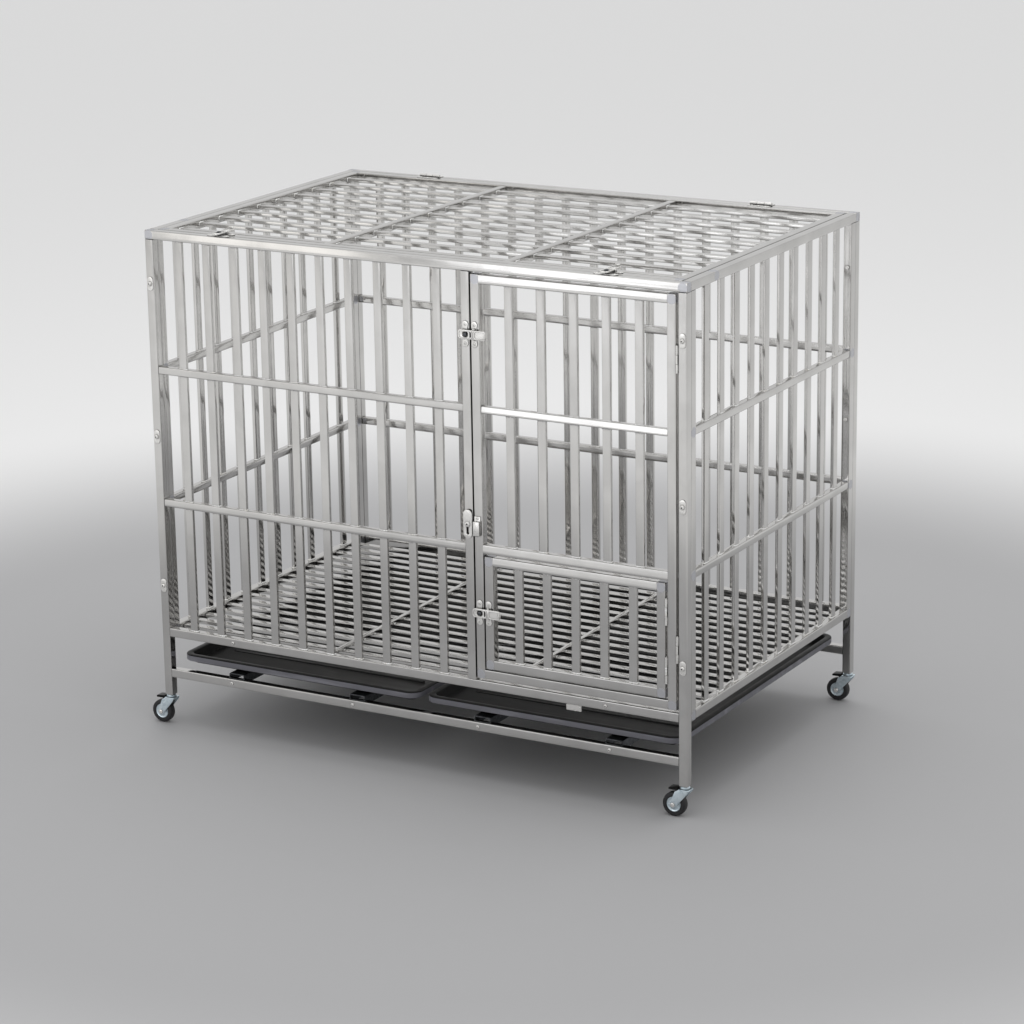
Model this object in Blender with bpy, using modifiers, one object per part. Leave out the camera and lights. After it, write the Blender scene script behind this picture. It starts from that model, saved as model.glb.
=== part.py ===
"""Dog crate of polished steel tube on four casters.

Two framed side panels stand between a front and a back frame. A lid of slats closes the
roof, a grid of slats is the floor, and two plastic trays slide out below it. The front has
a fixed grille, a large door and a smaller door inside the large one.

Places are worked out in the cage's own coordinates: x from the left outer face, y from the
front outer face to the back, z up from the lower end of the posts. The whole object is
moved at the end, so that its origin is on the floor at the middle of its outline.
"""

import math

import bmesh
import bpy
from mathutils import Matrix, Vector

MM = 0.001

# Cage without casters
WIDTH = 1250 * MM
DEPTH = 805 * MM
HEIGHT = 1010 * MM

# Sections of tube, bar and slat
TUBE = 19 * MM
RAIL = 16 * MM
BAR_WIDTH = 18 * MM
BAR_THICKNESS = 8 * MM
SLAT_WIDTH = 16 * MM
SLAT_THICKNESS = 8 * MM
SLAT_ROUNDING = 2.6 * MM

# Gap between pieces that touch, and how far a welded bar runs into its tube
SEAT = 0.3 * MM
WELD = 4 * MM
# How far a thin plate sinks into the piece it is joined to
BOND = 0.5 * MM

# Heights of the long rails, at their centres
BOTTOM_RAIL_HEIGHT = 141 * MM
TRAY_RAIL_HEIGHT = 50 * MM
TOP_RAIL_HEIGHT = HEIGHT - TUBE / 2
MID_RAILS = 2

# Bars in each panel
FRONT_BARS = 10
SIDE_BARS = 10
BACK_BARS = 17
MAIN_DOOR_BARS = 5
SMALL_DOOR_BARS = 5

# Main door, in the opening between the centre post and the right post
CENTRE_POST_LEFT = 754 * MM
DOOR_LATCH_GAP = 3 * MM
DOOR_HINGE_GAP = 5 * MM
DOOR_TOP_GAP = 4.5 * MM
DOOR_BOTTOM_GAP = 5 * MM

# Small door, in the lower opening of the main door
SMALL_DOOR_LATCH_GAP = 2.5 * MM
SMALL_DOOR_HINGE_GAP = 5 * MM
SMALL_DOOR_TOP_GAP = 4.5 * MM
SMALL_DOOR_BOTTOM_GAP = 3 * MM

# Knuckle hinges of the doors
HINGE_LENGTH = 54 * MM
HINGE_BARREL = 2.2 * MM
HINGE_BORE = 1.2 * MM
HINGE_PIN = 1.0 * MM
HINGE_PIN_HEAD = 1.9 * MM
HINGE_PIN_HEAD_LENGTH = 1 * MM
HINGE_LEAF = 1.2 * MM
HINGE_LEAF_WIDTH = 15 * MM
HINGE_FORWARD = 1 * MM
HINGE_CLEARANCE = 0.6 * MM
MAIN_HINGE_SPREAD = 290 * MM
SMALL_HINGE_SPREAD = 60 * MM
BARREL_SEGMENTS = 10

# Roof lid
LID_GAP = 2 * MM
LID_SLATS = 10
LID_CROSS_TUBES = 2
LID_CROSS_DROP = 1.5 * MM
LID_HINGE_SETBACK = 218 * MM
LID_HINGE_LENGTH = 50 * MM
LID_HINGE_BARREL = 3.5 * MM
LID_HINGE_PIN = 1.6 * MM
LID_HINGE_BORE = 2.0 * MM
LID_HINGE_LEAF_WIDTH = 17 * MM

# Floor grid
FLOOR_SLATS = 18
FLOOR_CROSS_BARS = 2
FLOOR_CROSS_WIDTH = 10 * MM
FLOOR_CROSS_HEIGHT = 7.5 * MM

# Trays and the channels that they slide on
TRAY_SIDE_GAP = 11 * MM
TRAY_MIDDLE_GAP = 18 * MM
TRAY_FRONT_GAP = 5 * MM
TRAY_BACK_GAP = 11 * MM
TRAY_HEIGHT = 22 * MM
TRAY_WALL = 2.5 * MM
TRAY_FLANGE = 14 * MM
TRAY_SLOPE = 6 * MM
TRAY_LIP = 13 * MM
TRAY_CORNER = 14 * MM
TRAY_CORNER_STEPS = 5
RUNNER_TOP = 65.7 * MM
RUNNER_WIDTH = 38 * MM
RUNNER_LEG = 20 * MM
RUNNER_WALL = 2 * MM
RUNNER_CENTRES = (174 * MM, 475 * MM, 775 * MM, 1077 * MM)

# Rocker latches: places across the gap between the two frames, measured from its middle
LATCH_PIVOT = 10.5 * MM
LATCH_TONGUE_END = -24 * MM
LATCH_THUMB_END = 40 * MM
LATCH_PLATE_WIDTH = 19 * MM
LATCH_PLATE_ROUNDING = 7 * MM
LATCH_PLATE_BACK = 5.4 * MM
LATCH_PLATE_THICKNESS = 2.8 * MM
LATCH_HOLE_CENTRE = -7.5 * MM
LATCH_HOLE = (13 * MM, 11 * MM)
LATCH_HOLE_ROUNDING = 4 * MM
LATCH_PIVOT_OUT = 5.0 * MM
LATCH_BARREL = 2.8 * MM
LATCH_BORE = 1.9 * MM
LATCH_PIN = 1.6 * MM
LATCH_EAR = 2 * MM
LATCH_EAR_GAP = 0.4 * MM
LATCH_BASE_WIDTH = 14 * MM
LATCH_BASE_LENGTH = 52 * MM
LATCH_BASE_THICKNESS = 1.5 * MM
LATCH_SCREW_SPREAD = 20 * MM
LATCH_LIP_THICKNESS = 2.2 * MM
LATCH_LIP_RISE = 3.5 * MM
KEEPER_CENTRE = -10.5 * MM
KEEPER_BOSS = 4 * MM
KEEPER_BOSS_OUT = 9.6 * MM
MAIN_LATCH_HEIGHT = HEIGHT - 144 * MM
LID_LATCH_SETBACK = 178 * MM

# Turn button on the centre post and its catch on the door
BUTTON_HEIGHT = 478 * MM
BUTTON_LENGTH = 59 * MM
BUTTON_WIDTH = 20 * MM
BUTTON_BACK = 3.0 * MM
BUTTON_THICKNESS = 2.5 * MM
BUTTON_HUB = 6 * MM
BUTTON_STEM = 3 * MM
BUTTON_STEM_LENGTH = 12 * MM
BUTTON_STEM_CLEARANCE = 0.3 * MM
BUTTON_DOME_HEIGHT = 3 * MM
CATCH_WIDTH = 14 * MM
CATCH_EDGE = 1 * MM
CATCH_BASE_HEIGHT = 40 * MM
CATCH_LIP_HEIGHT = 30 * MM
CATCH_BELOW = 23 * MM
CATCH_WALL = 1.5 * MM
CATCH_PLAY = 0.7 * MM

# Fasteners
CORNER_BOLT_HEIGHTS = (245 * MM, 571 * MM, 898 * MM)
WASHER_LENGTH = 30 * MM
WASHER_WIDTH = 14 * MM
WASHER_THICKNESS = 1.6 * MM
BOLT_DOME = 5 * MM
BOLT_DOME_HEIGHT = 4.2 * MM
SMALL_BOLT_DOME = 4 * MM
SMALL_BOLT_DOME_HEIGHT = 2.4 * MM
BOTTOM_RAIL_BOLTS = (181 * MM, 1069 * MM)
SCREW_DOME = 3.4 * MM
SCREW_DOME_HEIGHT = 1.1 * MM
DOME_TOP_SHARE = 0.55
DOME_SEGMENTS = 10
FLOOR_TAB_CENTRE = 993 * MM
FLOOR_TAB = (34 * MM, 2 * MM, 15 * MM)

# Casters
WHEEL_RADIUS = 25 * MM
WHEEL_WIDTH = 17 * MM
WHEEL_CROWN = 1.6 * MM
WHEEL_HUB_RADIUS = 8 * MM
WHEEL_DISH = 2 * MM
WHEEL_SEGMENTS = 24
CASTER_TRAIL = 22 * MM
AXLE_HEIGHT = -41 * MM
AXLE_RADIUS = 3 * MM
AXLE_CLEARANCE = 0.3 * MM
AXLE_HEAD = 5 * MM
AXLE_HEAD_LENGTH = 2 * MM
FORK_TOP = -6.5 * MM
FORK_PLATE_THICKNESS = 3 * MM
FORK_PLATE_FRONT = 13 * MM
FORK_PLATE_BACK = 11 * MM
FORK_INNER = 10 * MM
FORK_WALL = 2 * MM
FORK_NOSE = 7 * MM
FORK_SHOULDER = 7 * MM
NOSE_STEPS = 6
STEM_COLLAR_HEIGHT = 6 * MM
STEM_COLLAR = 10.5 * MM
STEM_NECK = 5 * MM
STEM_NECK_CLEARANCE = 0.3 * MM
STEM_RIVET = 8 * MM
STEM_RIVET_HEIGHT = 2.2 * MM
STEM_PLUG = 12 * MM
STEM_PLUG_LENGTH = 24 * MM
BRAKE_PIVOT = (-14 * MM, -13 * MM)
BRAKE_PIN = 1.5 * MM
BRAKE_BORE = 1.8 * MM
BRAKE_BOSS = 3.4 * MM
BRAKE_HALF_WIDTH = 9 * MM
BRAKE_PEDAL_REACH = 19 * MM
BRAKE_PEDAL_TOP = 9 * MM
BRAKE_PEDAL_UNDER = 2.9 * MM

# Middle of a post from its outer faces
POST_CENTRE = TUBE / 2

# Edges that turn by more degrees than this stay sharp
SHARP_ANGLE = 40

OBJECT_NAME = "dog_crate"
HELPERS_NAME = "cutters_and_unions"


# Scene and collections

def clear_scene():
    for obj in list(bpy.data.objects):
        bpy.data.objects.remove(obj, do_unlink=True)


def new_collection(name):
    collection = bpy.data.collections.new(name)
    bpy.context.scene.collection.children.link(collection)
    return collection


def new_material(name, colour, roughness, metallic):
    material = bpy.data.materials.new(name)
    material.use_nodes = True
    shader = material.node_tree.nodes["Principled BSDF"]
    shader.inputs["Base Color"].default_value = (*colour, 1.0)
    shader.inputs["Roughness"].default_value = roughness
    shader.inputs["Metallic"].default_value = metallic
    return material


clear_scene()
PARTS = new_collection(OBJECT_NAME)
HELPERS = new_collection(HELPERS_NAME)
POLISHED_STEEL = new_material("polished_steel", (0.78, 0.77, 0.75), 0.12, 1.0)
LATCH_STEEL = new_material("latch_steel", (0.72, 0.71, 0.69), 0.22, 1.0)
ZINC = new_material("zinc", (0.55, 0.58, 0.62), 0.35, 1.0)
RUBBER = new_material("rubber", (0.03, 0.03, 0.03), 0.6, 0.0)
BLACK_PLASTIC = new_material("black_plastic", (0.02, 0.02, 0.022), 0.25, 0.0)


# Objects from meshes

def part_from(bm, name, material, origin=Vector((0, 0, 0)), matrix=None):
    """A visible part. Its mesh is in cage coordinates, and its origin goes to `origin`."""
    obj = object_from(bm, name, origin, matrix)
    obj.data.materials.append(material)
    PARTS.objects.link(obj)
    return obj


def helper_from(bm, name, origin=Vector((0, 0, 0)), matrix=None):
    """A hidden shape that another part's Boolean joins or cuts with."""
    obj = object_from(bm, name, origin, matrix)
    obj.hide_render = True
    obj.display_type = "WIRE"
    HELPERS.objects.link(obj)
    return obj


def object_from(bm, name, origin, matrix):
    origin = Vector(origin)
    bmesh.ops.translate(bm, verts=bm.verts, vec=-origin)
    mesh = bpy.data.meshes.new(name)
    bm.to_mesh(mesh)
    bm.free()
    mesh.shade_smooth()
    mesh.set_sharp_from_angle(angle=math.radians(SHARP_ANGLE))
    obj = bpy.data.objects.new(name, mesh)
    obj.matrix_world = Matrix.Translation(origin)
    if matrix is not None:
        obj.matrix_world = matrix @ Matrix.Translation(origin)
    return obj


def join(part, helper):
    add_boolean(part, helper, "UNION")


def cut(part, helper):
    add_boolean(part, helper, "DIFFERENCE")


def add_boolean(part, helper, operation):
    modifier = part.modifiers.new(f"{operation.lower()}_{helper.name}"[:60], "BOOLEAN")
    modifier.operation = operation
    modifier.solver = "EXACT"
    modifier.object = helper


# Shapes added to a bmesh

def add_box(bm, low, high):
    low = Vector(low)
    high = Vector(high)
    size = high - low
    matrix = Matrix.Translation((low + high) / 2) @ Matrix.Diagonal((*size, 1))
    return bmesh.ops.create_cube(bm, size=1, matrix=matrix)["verts"]


def add_rod(bm, radius, start, end, segments=BARREL_SEGMENTS, end_radius=None):
    """A cylinder from `start` to `end`, or a cone where `end_radius` differs."""
    start = Vector(start)
    end = Vector(end)
    run = end - start
    turn = run.to_track_quat("Z", "Y").to_matrix().to_4x4()
    bmesh.ops.create_cone(
        bm,
        cap_ends=True,
        segments=segments,
        radius1=radius,
        radius2=radius if end_radius is None else end_radius,
        depth=run.length,
        matrix=Matrix.Translation((start + end) / 2) @ turn,
    )


def add_dome(bm, radius, height, seat, direction):
    """A bolt's low head that stands on `seat` and points along `direction`."""
    direction = Vector(direction)
    start = Vector(seat) - direction * BOND
    end = Vector(seat) + direction * height
    add_rod(bm, radius, start, end, DOME_SEGMENTS, radius * DOME_TOP_SHARE)


def boxes(pairs):
    bm = bmesh.new()
    for low, high in pairs:
        add_box(bm, low, high)
    return bm


def box_part(name, low, high, material=POLISHED_STEEL):
    return part_from(boxes([(low, high)]), name, material, Vector(low))


def slats(places, start, end, height):
    """Flat bars with rounded edges along x, one at each place in y."""
    bm = bmesh.new()
    half_width = SLAT_WIDTH / 2
    half = SLAT_THICKNESS / 2
    for y in places:
        add_box(bm, (start, y - half_width, height - half), (end, y + half_width, height + half))
    long_edges = [edge for edge in bm.edges if abs((edge.verts[0].co - edge.verts[1].co).x) > half]
    bmesh.ops.bevel(bm, geom=long_edges, offset=SLAT_ROUNDING, segments=1, profile=0.5, affect="EDGES")
    return bm


# Flat outlines

def arc(centre, radius, first, last, steps):
    """Points of an arc, with angles in degrees."""
    points = []
    for step in range(steps + 1):
        angle = math.radians(first + (last - first) * step / steps)
        points.append((centre[0] + radius * math.cos(angle), centre[1] + radius * math.sin(angle)))
    return points


def rounded_rectangle(centre, size, radius, steps):
    """Anticlockwise points of a rectangle with round corners."""
    x = size[0] / 2 - radius
    y = size[1] / 2 - radius
    points = []
    for corner_x, corner_y, first in ((x, y, 0), (-x, y, 90), (-x, -y, 180), (x, -y, 270)):
        middle = (centre[0] + corner_x, centre[1] + corner_y)
        points += arc(middle, radius, first, first + 90, steps)
    return points


def outline_mesh(outlines, thickness, matrix):
    """A bmesh of a flat plate: the first outline is its edge and the others are holes."""
    curve = bpy.data.curves.new("outline", "CURVE")
    curve.dimensions = "2D"
    curve.fill_mode = "BOTH"
    curve.extrude = thickness / 2
    for outline in outlines:
        spline = curve.splines.new("POLY")
        spline.points.add(len(outline) - 1)
        spline.use_cyclic_u = True
        for point, place in zip(spline.points, outline):
            point.co = (*place, 0, 1)
    obj = bpy.data.objects.new("outline", curve)
    bpy.context.scene.collection.objects.link(obj)
    bpy.context.view_layer.update()
    graph = bpy.context.evaluated_depsgraph_get()
    mesh = bpy.data.meshes.new_from_object(obj.evaluated_get(graph))
    bm = bmesh.new()
    bm.from_mesh(mesh)
    bmesh.ops.remove_doubles(bm, verts=bm.verts, dist=1e-6)
    bmesh.ops.recalc_face_normals(bm, faces=bm.faces)
    bmesh.ops.transform(bm, verts=bm.verts, matrix=matrix)
    bpy.data.objects.remove(obj, do_unlink=True)
    bpy.data.curves.remove(curve)
    bpy.data.meshes.remove(mesh)
    return bm


def add_mesh_of(bm, other):
    """Adds the faces of another bmesh to this one, as a body of its own."""
    mesh = bpy.data.meshes.new("added")
    other.to_mesh(mesh)
    other.free()
    bm.from_mesh(mesh)
    bpy.data.meshes.remove(mesh)


# Places that repeat

def even_places(start, end, count, width):
    """Centres of `count` pieces of one width, with equal gaps between and beside them."""
    gap = (end - start - count * width) / (count + 1)
    return [start + gap * (index + 1) + width * (index + 0.5) for index in range(count)]


def shared_places(start, end, count):
    """Points that share a length into equal fields."""
    return [start + (end - start) * (index + 1) / (count + 1) for index in range(count)]


MID_RAIL_HEIGHTS = shared_places(BOTTOM_RAIL_HEIGHT, TOP_RAIL_HEIGHT, MID_RAILS)
BOTTOM_RAIL_TOP = BOTTOM_RAIL_HEIGHT + TUBE / 2
TOP_RAIL_UNDER = HEIGHT - TUBE
CENTRE_POST_RIGHT = CENTRE_POST_LEFT + TUBE


# Bars and rails in a panel: u runs along the panel, d into its thickness

def along_x(u, d, z):
    return Vector((u, d, z))


def along_y(u, d, z):
    return Vector((d, u, z))


def rail_boxes(place, start, end, heights, face, side):
    inset = (TUBE - side) / 2
    pairs = []
    for height in heights:
        low = place(start, face + inset, height - side / 2)
        high = place(end, face + inset + side, height + side / 2)
        pairs.append((low, high))
    return boxes(pairs)


def bar_boxes(place, centres, low_end, high_end, face):
    inset = (TUBE - BAR_THICKNESS) / 2
    pairs = []
    for centre in centres:
        low = place(centre - BAR_WIDTH / 2, face + inset, low_end)
        high = place(centre + BAR_WIDTH / 2, face + inset + BAR_THICKNESS, high_end)
        pairs.append((low, high))
    return boxes(pairs)


def grille(name, start, end, low_end, high_end, count, rail_heights, face):
    """Upright bars through two cross rails, between two posts."""
    origin = Vector((start, face, low_end))
    rails = rail_boxes(along_x, start + SEAT, end - SEAT, rail_heights, face, RAIL)
    part = part_from(rails, name, POLISHED_STEEL, origin)
    centres = even_places(start, end, count, BAR_WIDTH)
    bars = bar_boxes(along_x, centres, low_end + SEAT, high_end - SEAT, face)
    join(part, helper_from(bars, f"{name}_bars", origin))
    return part


# Front and back frames

def corner_post(name, x, y, outward):
    """A corner post with the socket of its caster and its three clamp bolts."""
    origin = Vector((x, y, 0))
    post = box_part(name, origin, (x + TUBE, y + TUBE, TOP_RAIL_UNDER - SEAT))
    middle = Vector((x + POST_CENTRE, y + POST_CENTRE, 0))
    half = STEM_PLUG / 2 + SEAT
    depth = STEM_PLUG_LENGTH + 2 * SEAT
    socket = boxes([(middle + Vector((-half, -half, -WELD)), middle + Vector((half, half, depth)))])
    cut(post, helper_from(socket, f"{name}_socket", origin))
    face_y = y if outward < 0 else y + TUBE
    add_clamp_heads(post, x + POST_CENTRE, face_y, outward, CORNER_BOLT_HEIGHTS)
    return post


def add_clamp_heads(part, x, face_y, outward, heights):
    """Oblong washers with low domes on a face that looks along y."""
    washers = bmesh.new()
    domes = bmesh.new()
    middle_y = face_y + outward * (WASHER_THICKNESS - BOND) / 2
    turn = Matrix.Rotation(math.radians(90), 4, "X")
    size = (WASHER_WIDTH, WASHER_LENGTH)
    for height in heights:
        edge = rounded_rectangle((0, 0), size, WASHER_WIDTH / 2 - SEAT, 2)
        place = Matrix.Translation((x, middle_y, height)) @ turn
        add_mesh_of(washers, outline_mesh([edge], WASHER_THICKNESS + BOND, place))
        seat = (x, face_y + outward * WASHER_THICKNESS, height)
        add_dome(domes, BOLT_DOME, BOLT_DOME_HEIGHT, seat, (0, outward, 0))
    join(part, helper_from(washers, f"{part.name}_washers"))
    join(part, helper_from(domes, f"{part.name}_domes"))


def add_bolt_heads(part, places, height, face_y, outward):
    domes = bmesh.new()
    for x in places:
        seat = (x, face_y, height)
        add_dome(domes, SMALL_BOLT_DOME, SMALL_BOLT_DOME_HEIGHT, seat, (0, outward, 0))
    join(part, helper_from(domes, f"{part.name}_bolts"))


def long_rail(name, y, height, start=TUBE + SEAT, end=WIDTH - TUBE - SEAT):
    low = (start, y, height - TUBE / 2)
    high = (end, y + TUBE, height + TUBE / 2)
    return box_part(name, low, high)


def build_front_frame():
    right = corner_post("front_right_post", WIDTH - TUBE, 0, -1)
    corner_post("front_left_post", 0, 0, -1)
    long_rail("front_top_rail", 0, TOP_RAIL_HEIGHT, 0, WIDTH)
    bottom = long_rail("front_bottom_rail", 0, BOTTOM_RAIL_HEIGHT)
    add_bolt_heads(bottom, BOTTOM_RAIL_BOLTS, BOTTOM_RAIL_HEIGHT, 0, -1)
    add_floor_tab(bottom)
    tray_rail = long_rail("front_tray_rail", 0, TRAY_RAIL_HEIGHT)
    add_bolt_heads(tray_rail, RUNNER_CENTRES, TRAY_RAIL_HEIGHT, 0, -1)
    build_centre_post()
    grille(
        "front_grille", TUBE, CENTRE_POST_LEFT, BOTTOM_RAIL_TOP, TOP_RAIL_UNDER,
        FRONT_BARS, MID_RAIL_HEIGHTS, 0,
    )
    add_hinge_half(right, "main", MAIN_HINGE, MAIN_HINGE_HEIGHTS, side=1)


def add_floor_tab(rail):
    """A small plate that hangs below the front bottom rail."""
    width, thickness, drop = FLOOR_TAB
    under = BOTTOM_RAIL_HEIGHT - TUBE / 2
    low = (FLOOR_TAB_CENTRE - width / 2, TUBE / 2 - thickness / 2, under - drop)
    high = (FLOOR_TAB_CENTRE + width / 2, TUBE / 2 + thickness / 2, under + WELD)
    join(rail, helper_from(boxes([(low, high)]), "front_bottom_rail_tab"))


def build_centre_post():
    low = (CENTRE_POST_LEFT, 0, BOTTOM_RAIL_TOP + SEAT)
    high = (CENTRE_POST_RIGHT, TUBE, TOP_RAIL_UNDER - SEAT)
    post = box_part("centre_post", low, high)
    bore = bmesh.new()
    x = CENTRE_POST_LEFT + TUBE / 2
    radius = BUTTON_STEM + BUTTON_STEM_CLEARANCE
    end = BUTTON_STEM_LENGTH + BUTTON_STEM_CLEARANCE
    add_rod(bore, radius, (x, -WELD, BUTTON_HEIGHT), (x, end, BUTTON_HEIGHT), DOME_SEGMENTS)
    cut(post, helper_from(bore, "centre_post_bore"))


def build_back_frame():
    back = DEPTH - TUBE
    corner_post("back_left_post", 0, back, 1)
    corner_post("back_right_post", WIDTH - TUBE, back, 1)
    top = long_rail("back_top_rail", back, TOP_RAIL_HEIGHT, 0, WIDTH)
    long_rail("back_bottom_rail", back, BOTTOM_RAIL_HEIGHT)
    tray_rail = long_rail("back_tray_rail", back, TRAY_RAIL_HEIGHT)
    add_bolt_heads(tray_rail, RUNNER_CENTRES, TRAY_RAIL_HEIGHT, DEPTH, 1)
    grille(
        "back_grille", TUBE, WIDTH - TUBE, BOTTOM_RAIL_TOP, TOP_RAIL_UNDER,
        BACK_BARS, MID_RAIL_HEIGHTS, back,
    )
    add_lid_hinge_half(top, side=1)


# Side panels

def side_panel(name, face):
    """A framed grille between the front and back posts, with the nuts of its clamp bolts."""
    start = TUBE + SEAT
    end = DEPTH - TUBE - SEAT
    low_end = BOTTOM_RAIL_HEIGHT - TUBE / 2
    origin = Vector((face, start, low_end))
    panel = box_part(name, origin, (face + TUBE, end, HEIGHT))
    hole_low = (face - WELD, start + TUBE, BOTTOM_RAIL_TOP)
    hole_high = (face + TUBE + WELD, end - TUBE, TOP_RAIL_UNDER)
    cut(panel, helper_from(boxes([(hole_low, hole_high)]), f"{name}_opening"))
    inner_start = start + TUBE - WELD
    inner_end = end - TUBE + WELD
    rails = rail_boxes(along_y, inner_start, inner_end, MID_RAIL_HEIGHTS, face, RAIL)
    join(panel, helper_from(rails, f"{name}_rails"))
    centres = even_places(start + TUBE, end - TUBE, SIDE_BARS, BAR_WIDTH)
    bars = bar_boxes(along_y, centres, BOTTOM_RAIL_TOP - WELD, TOP_RAIL_UNDER + WELD, face)
    join(panel, helper_from(bars, f"{name}_bars"))
    add_nuts(panel, face + POST_CENTRE, start + TUBE, 1)
    add_nuts(panel, face + POST_CENTRE, end - TUBE, -1)


def add_nuts(panel, x, face_y, outward):
    nuts = bmesh.new()
    for height in CORNER_BOLT_HEIGHTS:
        start = (x, face_y - outward * BOND, height)
        end = (x, face_y + outward * BOLT_DOME_HEIGHT, height)
        add_rod(nuts, BOLT_DOME, start, end, 6)
    side = "front" if outward > 0 else "back"
    join(panel, helper_from(nuts, f"{panel.name}_{side}_nuts"))


# Floor grid

def build_floor_grid():
    start = TUBE + SEAT
    end = WIDTH - TUBE - SEAT
    places = shared_places(TUBE, DEPTH - TUBE, FLOOR_SLATS)
    origin = Vector((start, TUBE, BOTTOM_RAIL_HEIGHT))
    grid = part_from(slats(places, start, end, BOTTOM_RAIL_HEIGHT), "floor_grid", POLISHED_STEEL, origin)
    under = BOTTOM_RAIL_HEIGHT + SLAT_THICKNESS / 2 - BOND
    pairs = []
    for x in shared_places(0, WIDTH, FLOOR_CROSS_BARS):
        low = (x - FLOOR_CROSS_WIDTH / 2, TUBE + SEAT, under)
        high = (x + FLOOR_CROSS_WIDTH / 2, DEPTH - TUBE - SEAT, under + FLOOR_CROSS_HEIGHT)
        pairs.append((low, high))
    join(grid, helper_from(boxes(pairs), "floor_grid_cross_bars"))


# Door hinges

MAIN_DOOR_RIGHT = WIDTH - TUBE - DOOR_HINGE_GAP
MAIN_DOOR_LEFT = CENTRE_POST_RIGHT + DOOR_LATCH_GAP
MAIN_DOOR_BOTTOM = BOTTOM_RAIL_TOP + DOOR_BOTTOM_GAP
MAIN_DOOR_TOP = TOP_RAIL_UNDER - DOOR_TOP_GAP
MAIN_HINGE = Vector((MAIN_DOOR_RIGHT + DOOR_HINGE_GAP / 2, -HINGE_FORWARD, 0))
MAIN_DOOR_MIDDLE = (MAIN_DOOR_BOTTOM + MAIN_DOOR_TOP) / 2
MAIN_HINGE_HEIGHTS = (MAIN_DOOR_MIDDLE - MAIN_HINGE_SPREAD, MAIN_DOOR_MIDDLE + MAIN_HINGE_SPREAD)

LOWER_RAIL_HEIGHT = MID_RAIL_HEIGHTS[0]
SMALL_DOOR_LEFT = MAIN_DOOR_LEFT + TUBE + SMALL_DOOR_LATCH_GAP
SMALL_DOOR_RIGHT = MAIN_DOOR_RIGHT - TUBE - SMALL_DOOR_HINGE_GAP
SMALL_DOOR_BOTTOM = MAIN_DOOR_BOTTOM + TUBE + SMALL_DOOR_BOTTOM_GAP
SMALL_DOOR_TOP = LOWER_RAIL_HEIGHT - TUBE / 2 - SMALL_DOOR_TOP_GAP
SMALL_HINGE = Vector((SMALL_DOOR_RIGHT + SMALL_DOOR_HINGE_GAP / 2, -HINGE_FORWARD, 0))
SMALL_DOOR_MIDDLE = (SMALL_DOOR_BOTTOM + SMALL_DOOR_TOP) / 2
SMALL_HINGE_HEIGHTS = (
    SMALL_DOOR_MIDDLE - SMALL_HINGE_SPREAD,
    SMALL_DOOR_MIDDLE + SMALL_HINGE_SPREAD,
)


def knuckle_spans(length, side):
    """Spans of one side's knuckles from the hinge's middle: two ends, or one in between."""
    third = length / 3
    if side > 0:
        return [(-length / 2, -third / 2 - SEAT), (third / 2 + SEAT, length / 2)]
    return [(-third / 2 + SEAT, third / 2 - SEAT)]


def add_hinge_half(carrier, name, axis, heights, side):
    """Leaf and knuckles of a door hinge. Side 1 is to the right of the axis, -1 to its left."""
    leaves = bmesh.new()
    tongues = bmesh.new()
    barrels = bmesh.new()
    bores = bmesh.new()
    reach = DOOR_HINGE_GAP / 2
    near = axis.x + side * (reach - HINGE_LEAF)
    far = axis.x + side * (reach + BOND)
    leaf_start = axis.y + HINGE_BARREL + HINGE_CLEARANCE
    for height in heights:
        low = (min(near, far), leaf_start, height - HINGE_LENGTH / 2)
        high = (max(near, far), axis.y + HINGE_LEAF_WIDTH, height + HINGE_LENGTH / 2)
        add_box(leaves, low, high)
        for bottom, top in knuckle_spans(HINGE_LENGTH, side):
            low = (min(near, far), axis.y, height + bottom)
            high = (max(near, far), leaf_start + BOND, height + top)
            add_box(tongues, low, high)
            start = (axis.x, axis.y, height + bottom)
            end = (axis.x, axis.y, height + top)
            add_rod(barrels, HINGE_BARREL, start, end)
        run = HINGE_LENGTH / 2 + WELD
        start = (axis.x, axis.y, height - run)
        add_rod(bores, HINGE_BORE, start, (axis.x, axis.y, height + run))
    label = f"{carrier.name}_{name}"
    origin = Vector((axis.x, axis.y, heights[0]))
    join(carrier, helper_from(leaves, f"{label}_leaves", origin))
    join(carrier, helper_from(tongues, f"{label}_tongues", origin))
    join(carrier, helper_from(barrels, f"{label}_barrels", origin))
    cut(carrier, helper_from(bores, f"{label}_bores", origin))


def hinge_pins(name, axis, heights):
    for height, place in zip(heights, ("lower", "upper")):
        bm = bmesh.new()
        bottom = height - HINGE_LENGTH / 2
        top = height + HINGE_LENGTH / 2 + SEAT
        add_rod(bm, HINGE_PIN, (axis.x, axis.y, bottom), (axis.x, axis.y, top + BOND))
        origin = Vector((axis.x, axis.y, bottom))
        pin = part_from(bm, f"{name}_{place}_hinge_pin", LATCH_STEEL, origin)
        head = bmesh.new()
        end = (axis.x, axis.y, top + HINGE_PIN_HEAD_LENGTH)
        add_rod(head, HINGE_PIN_HEAD, (axis.x, axis.y, top), end)
        join(pin, helper_from(head, f"{pin.name}_head", origin))


# Doors

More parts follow.
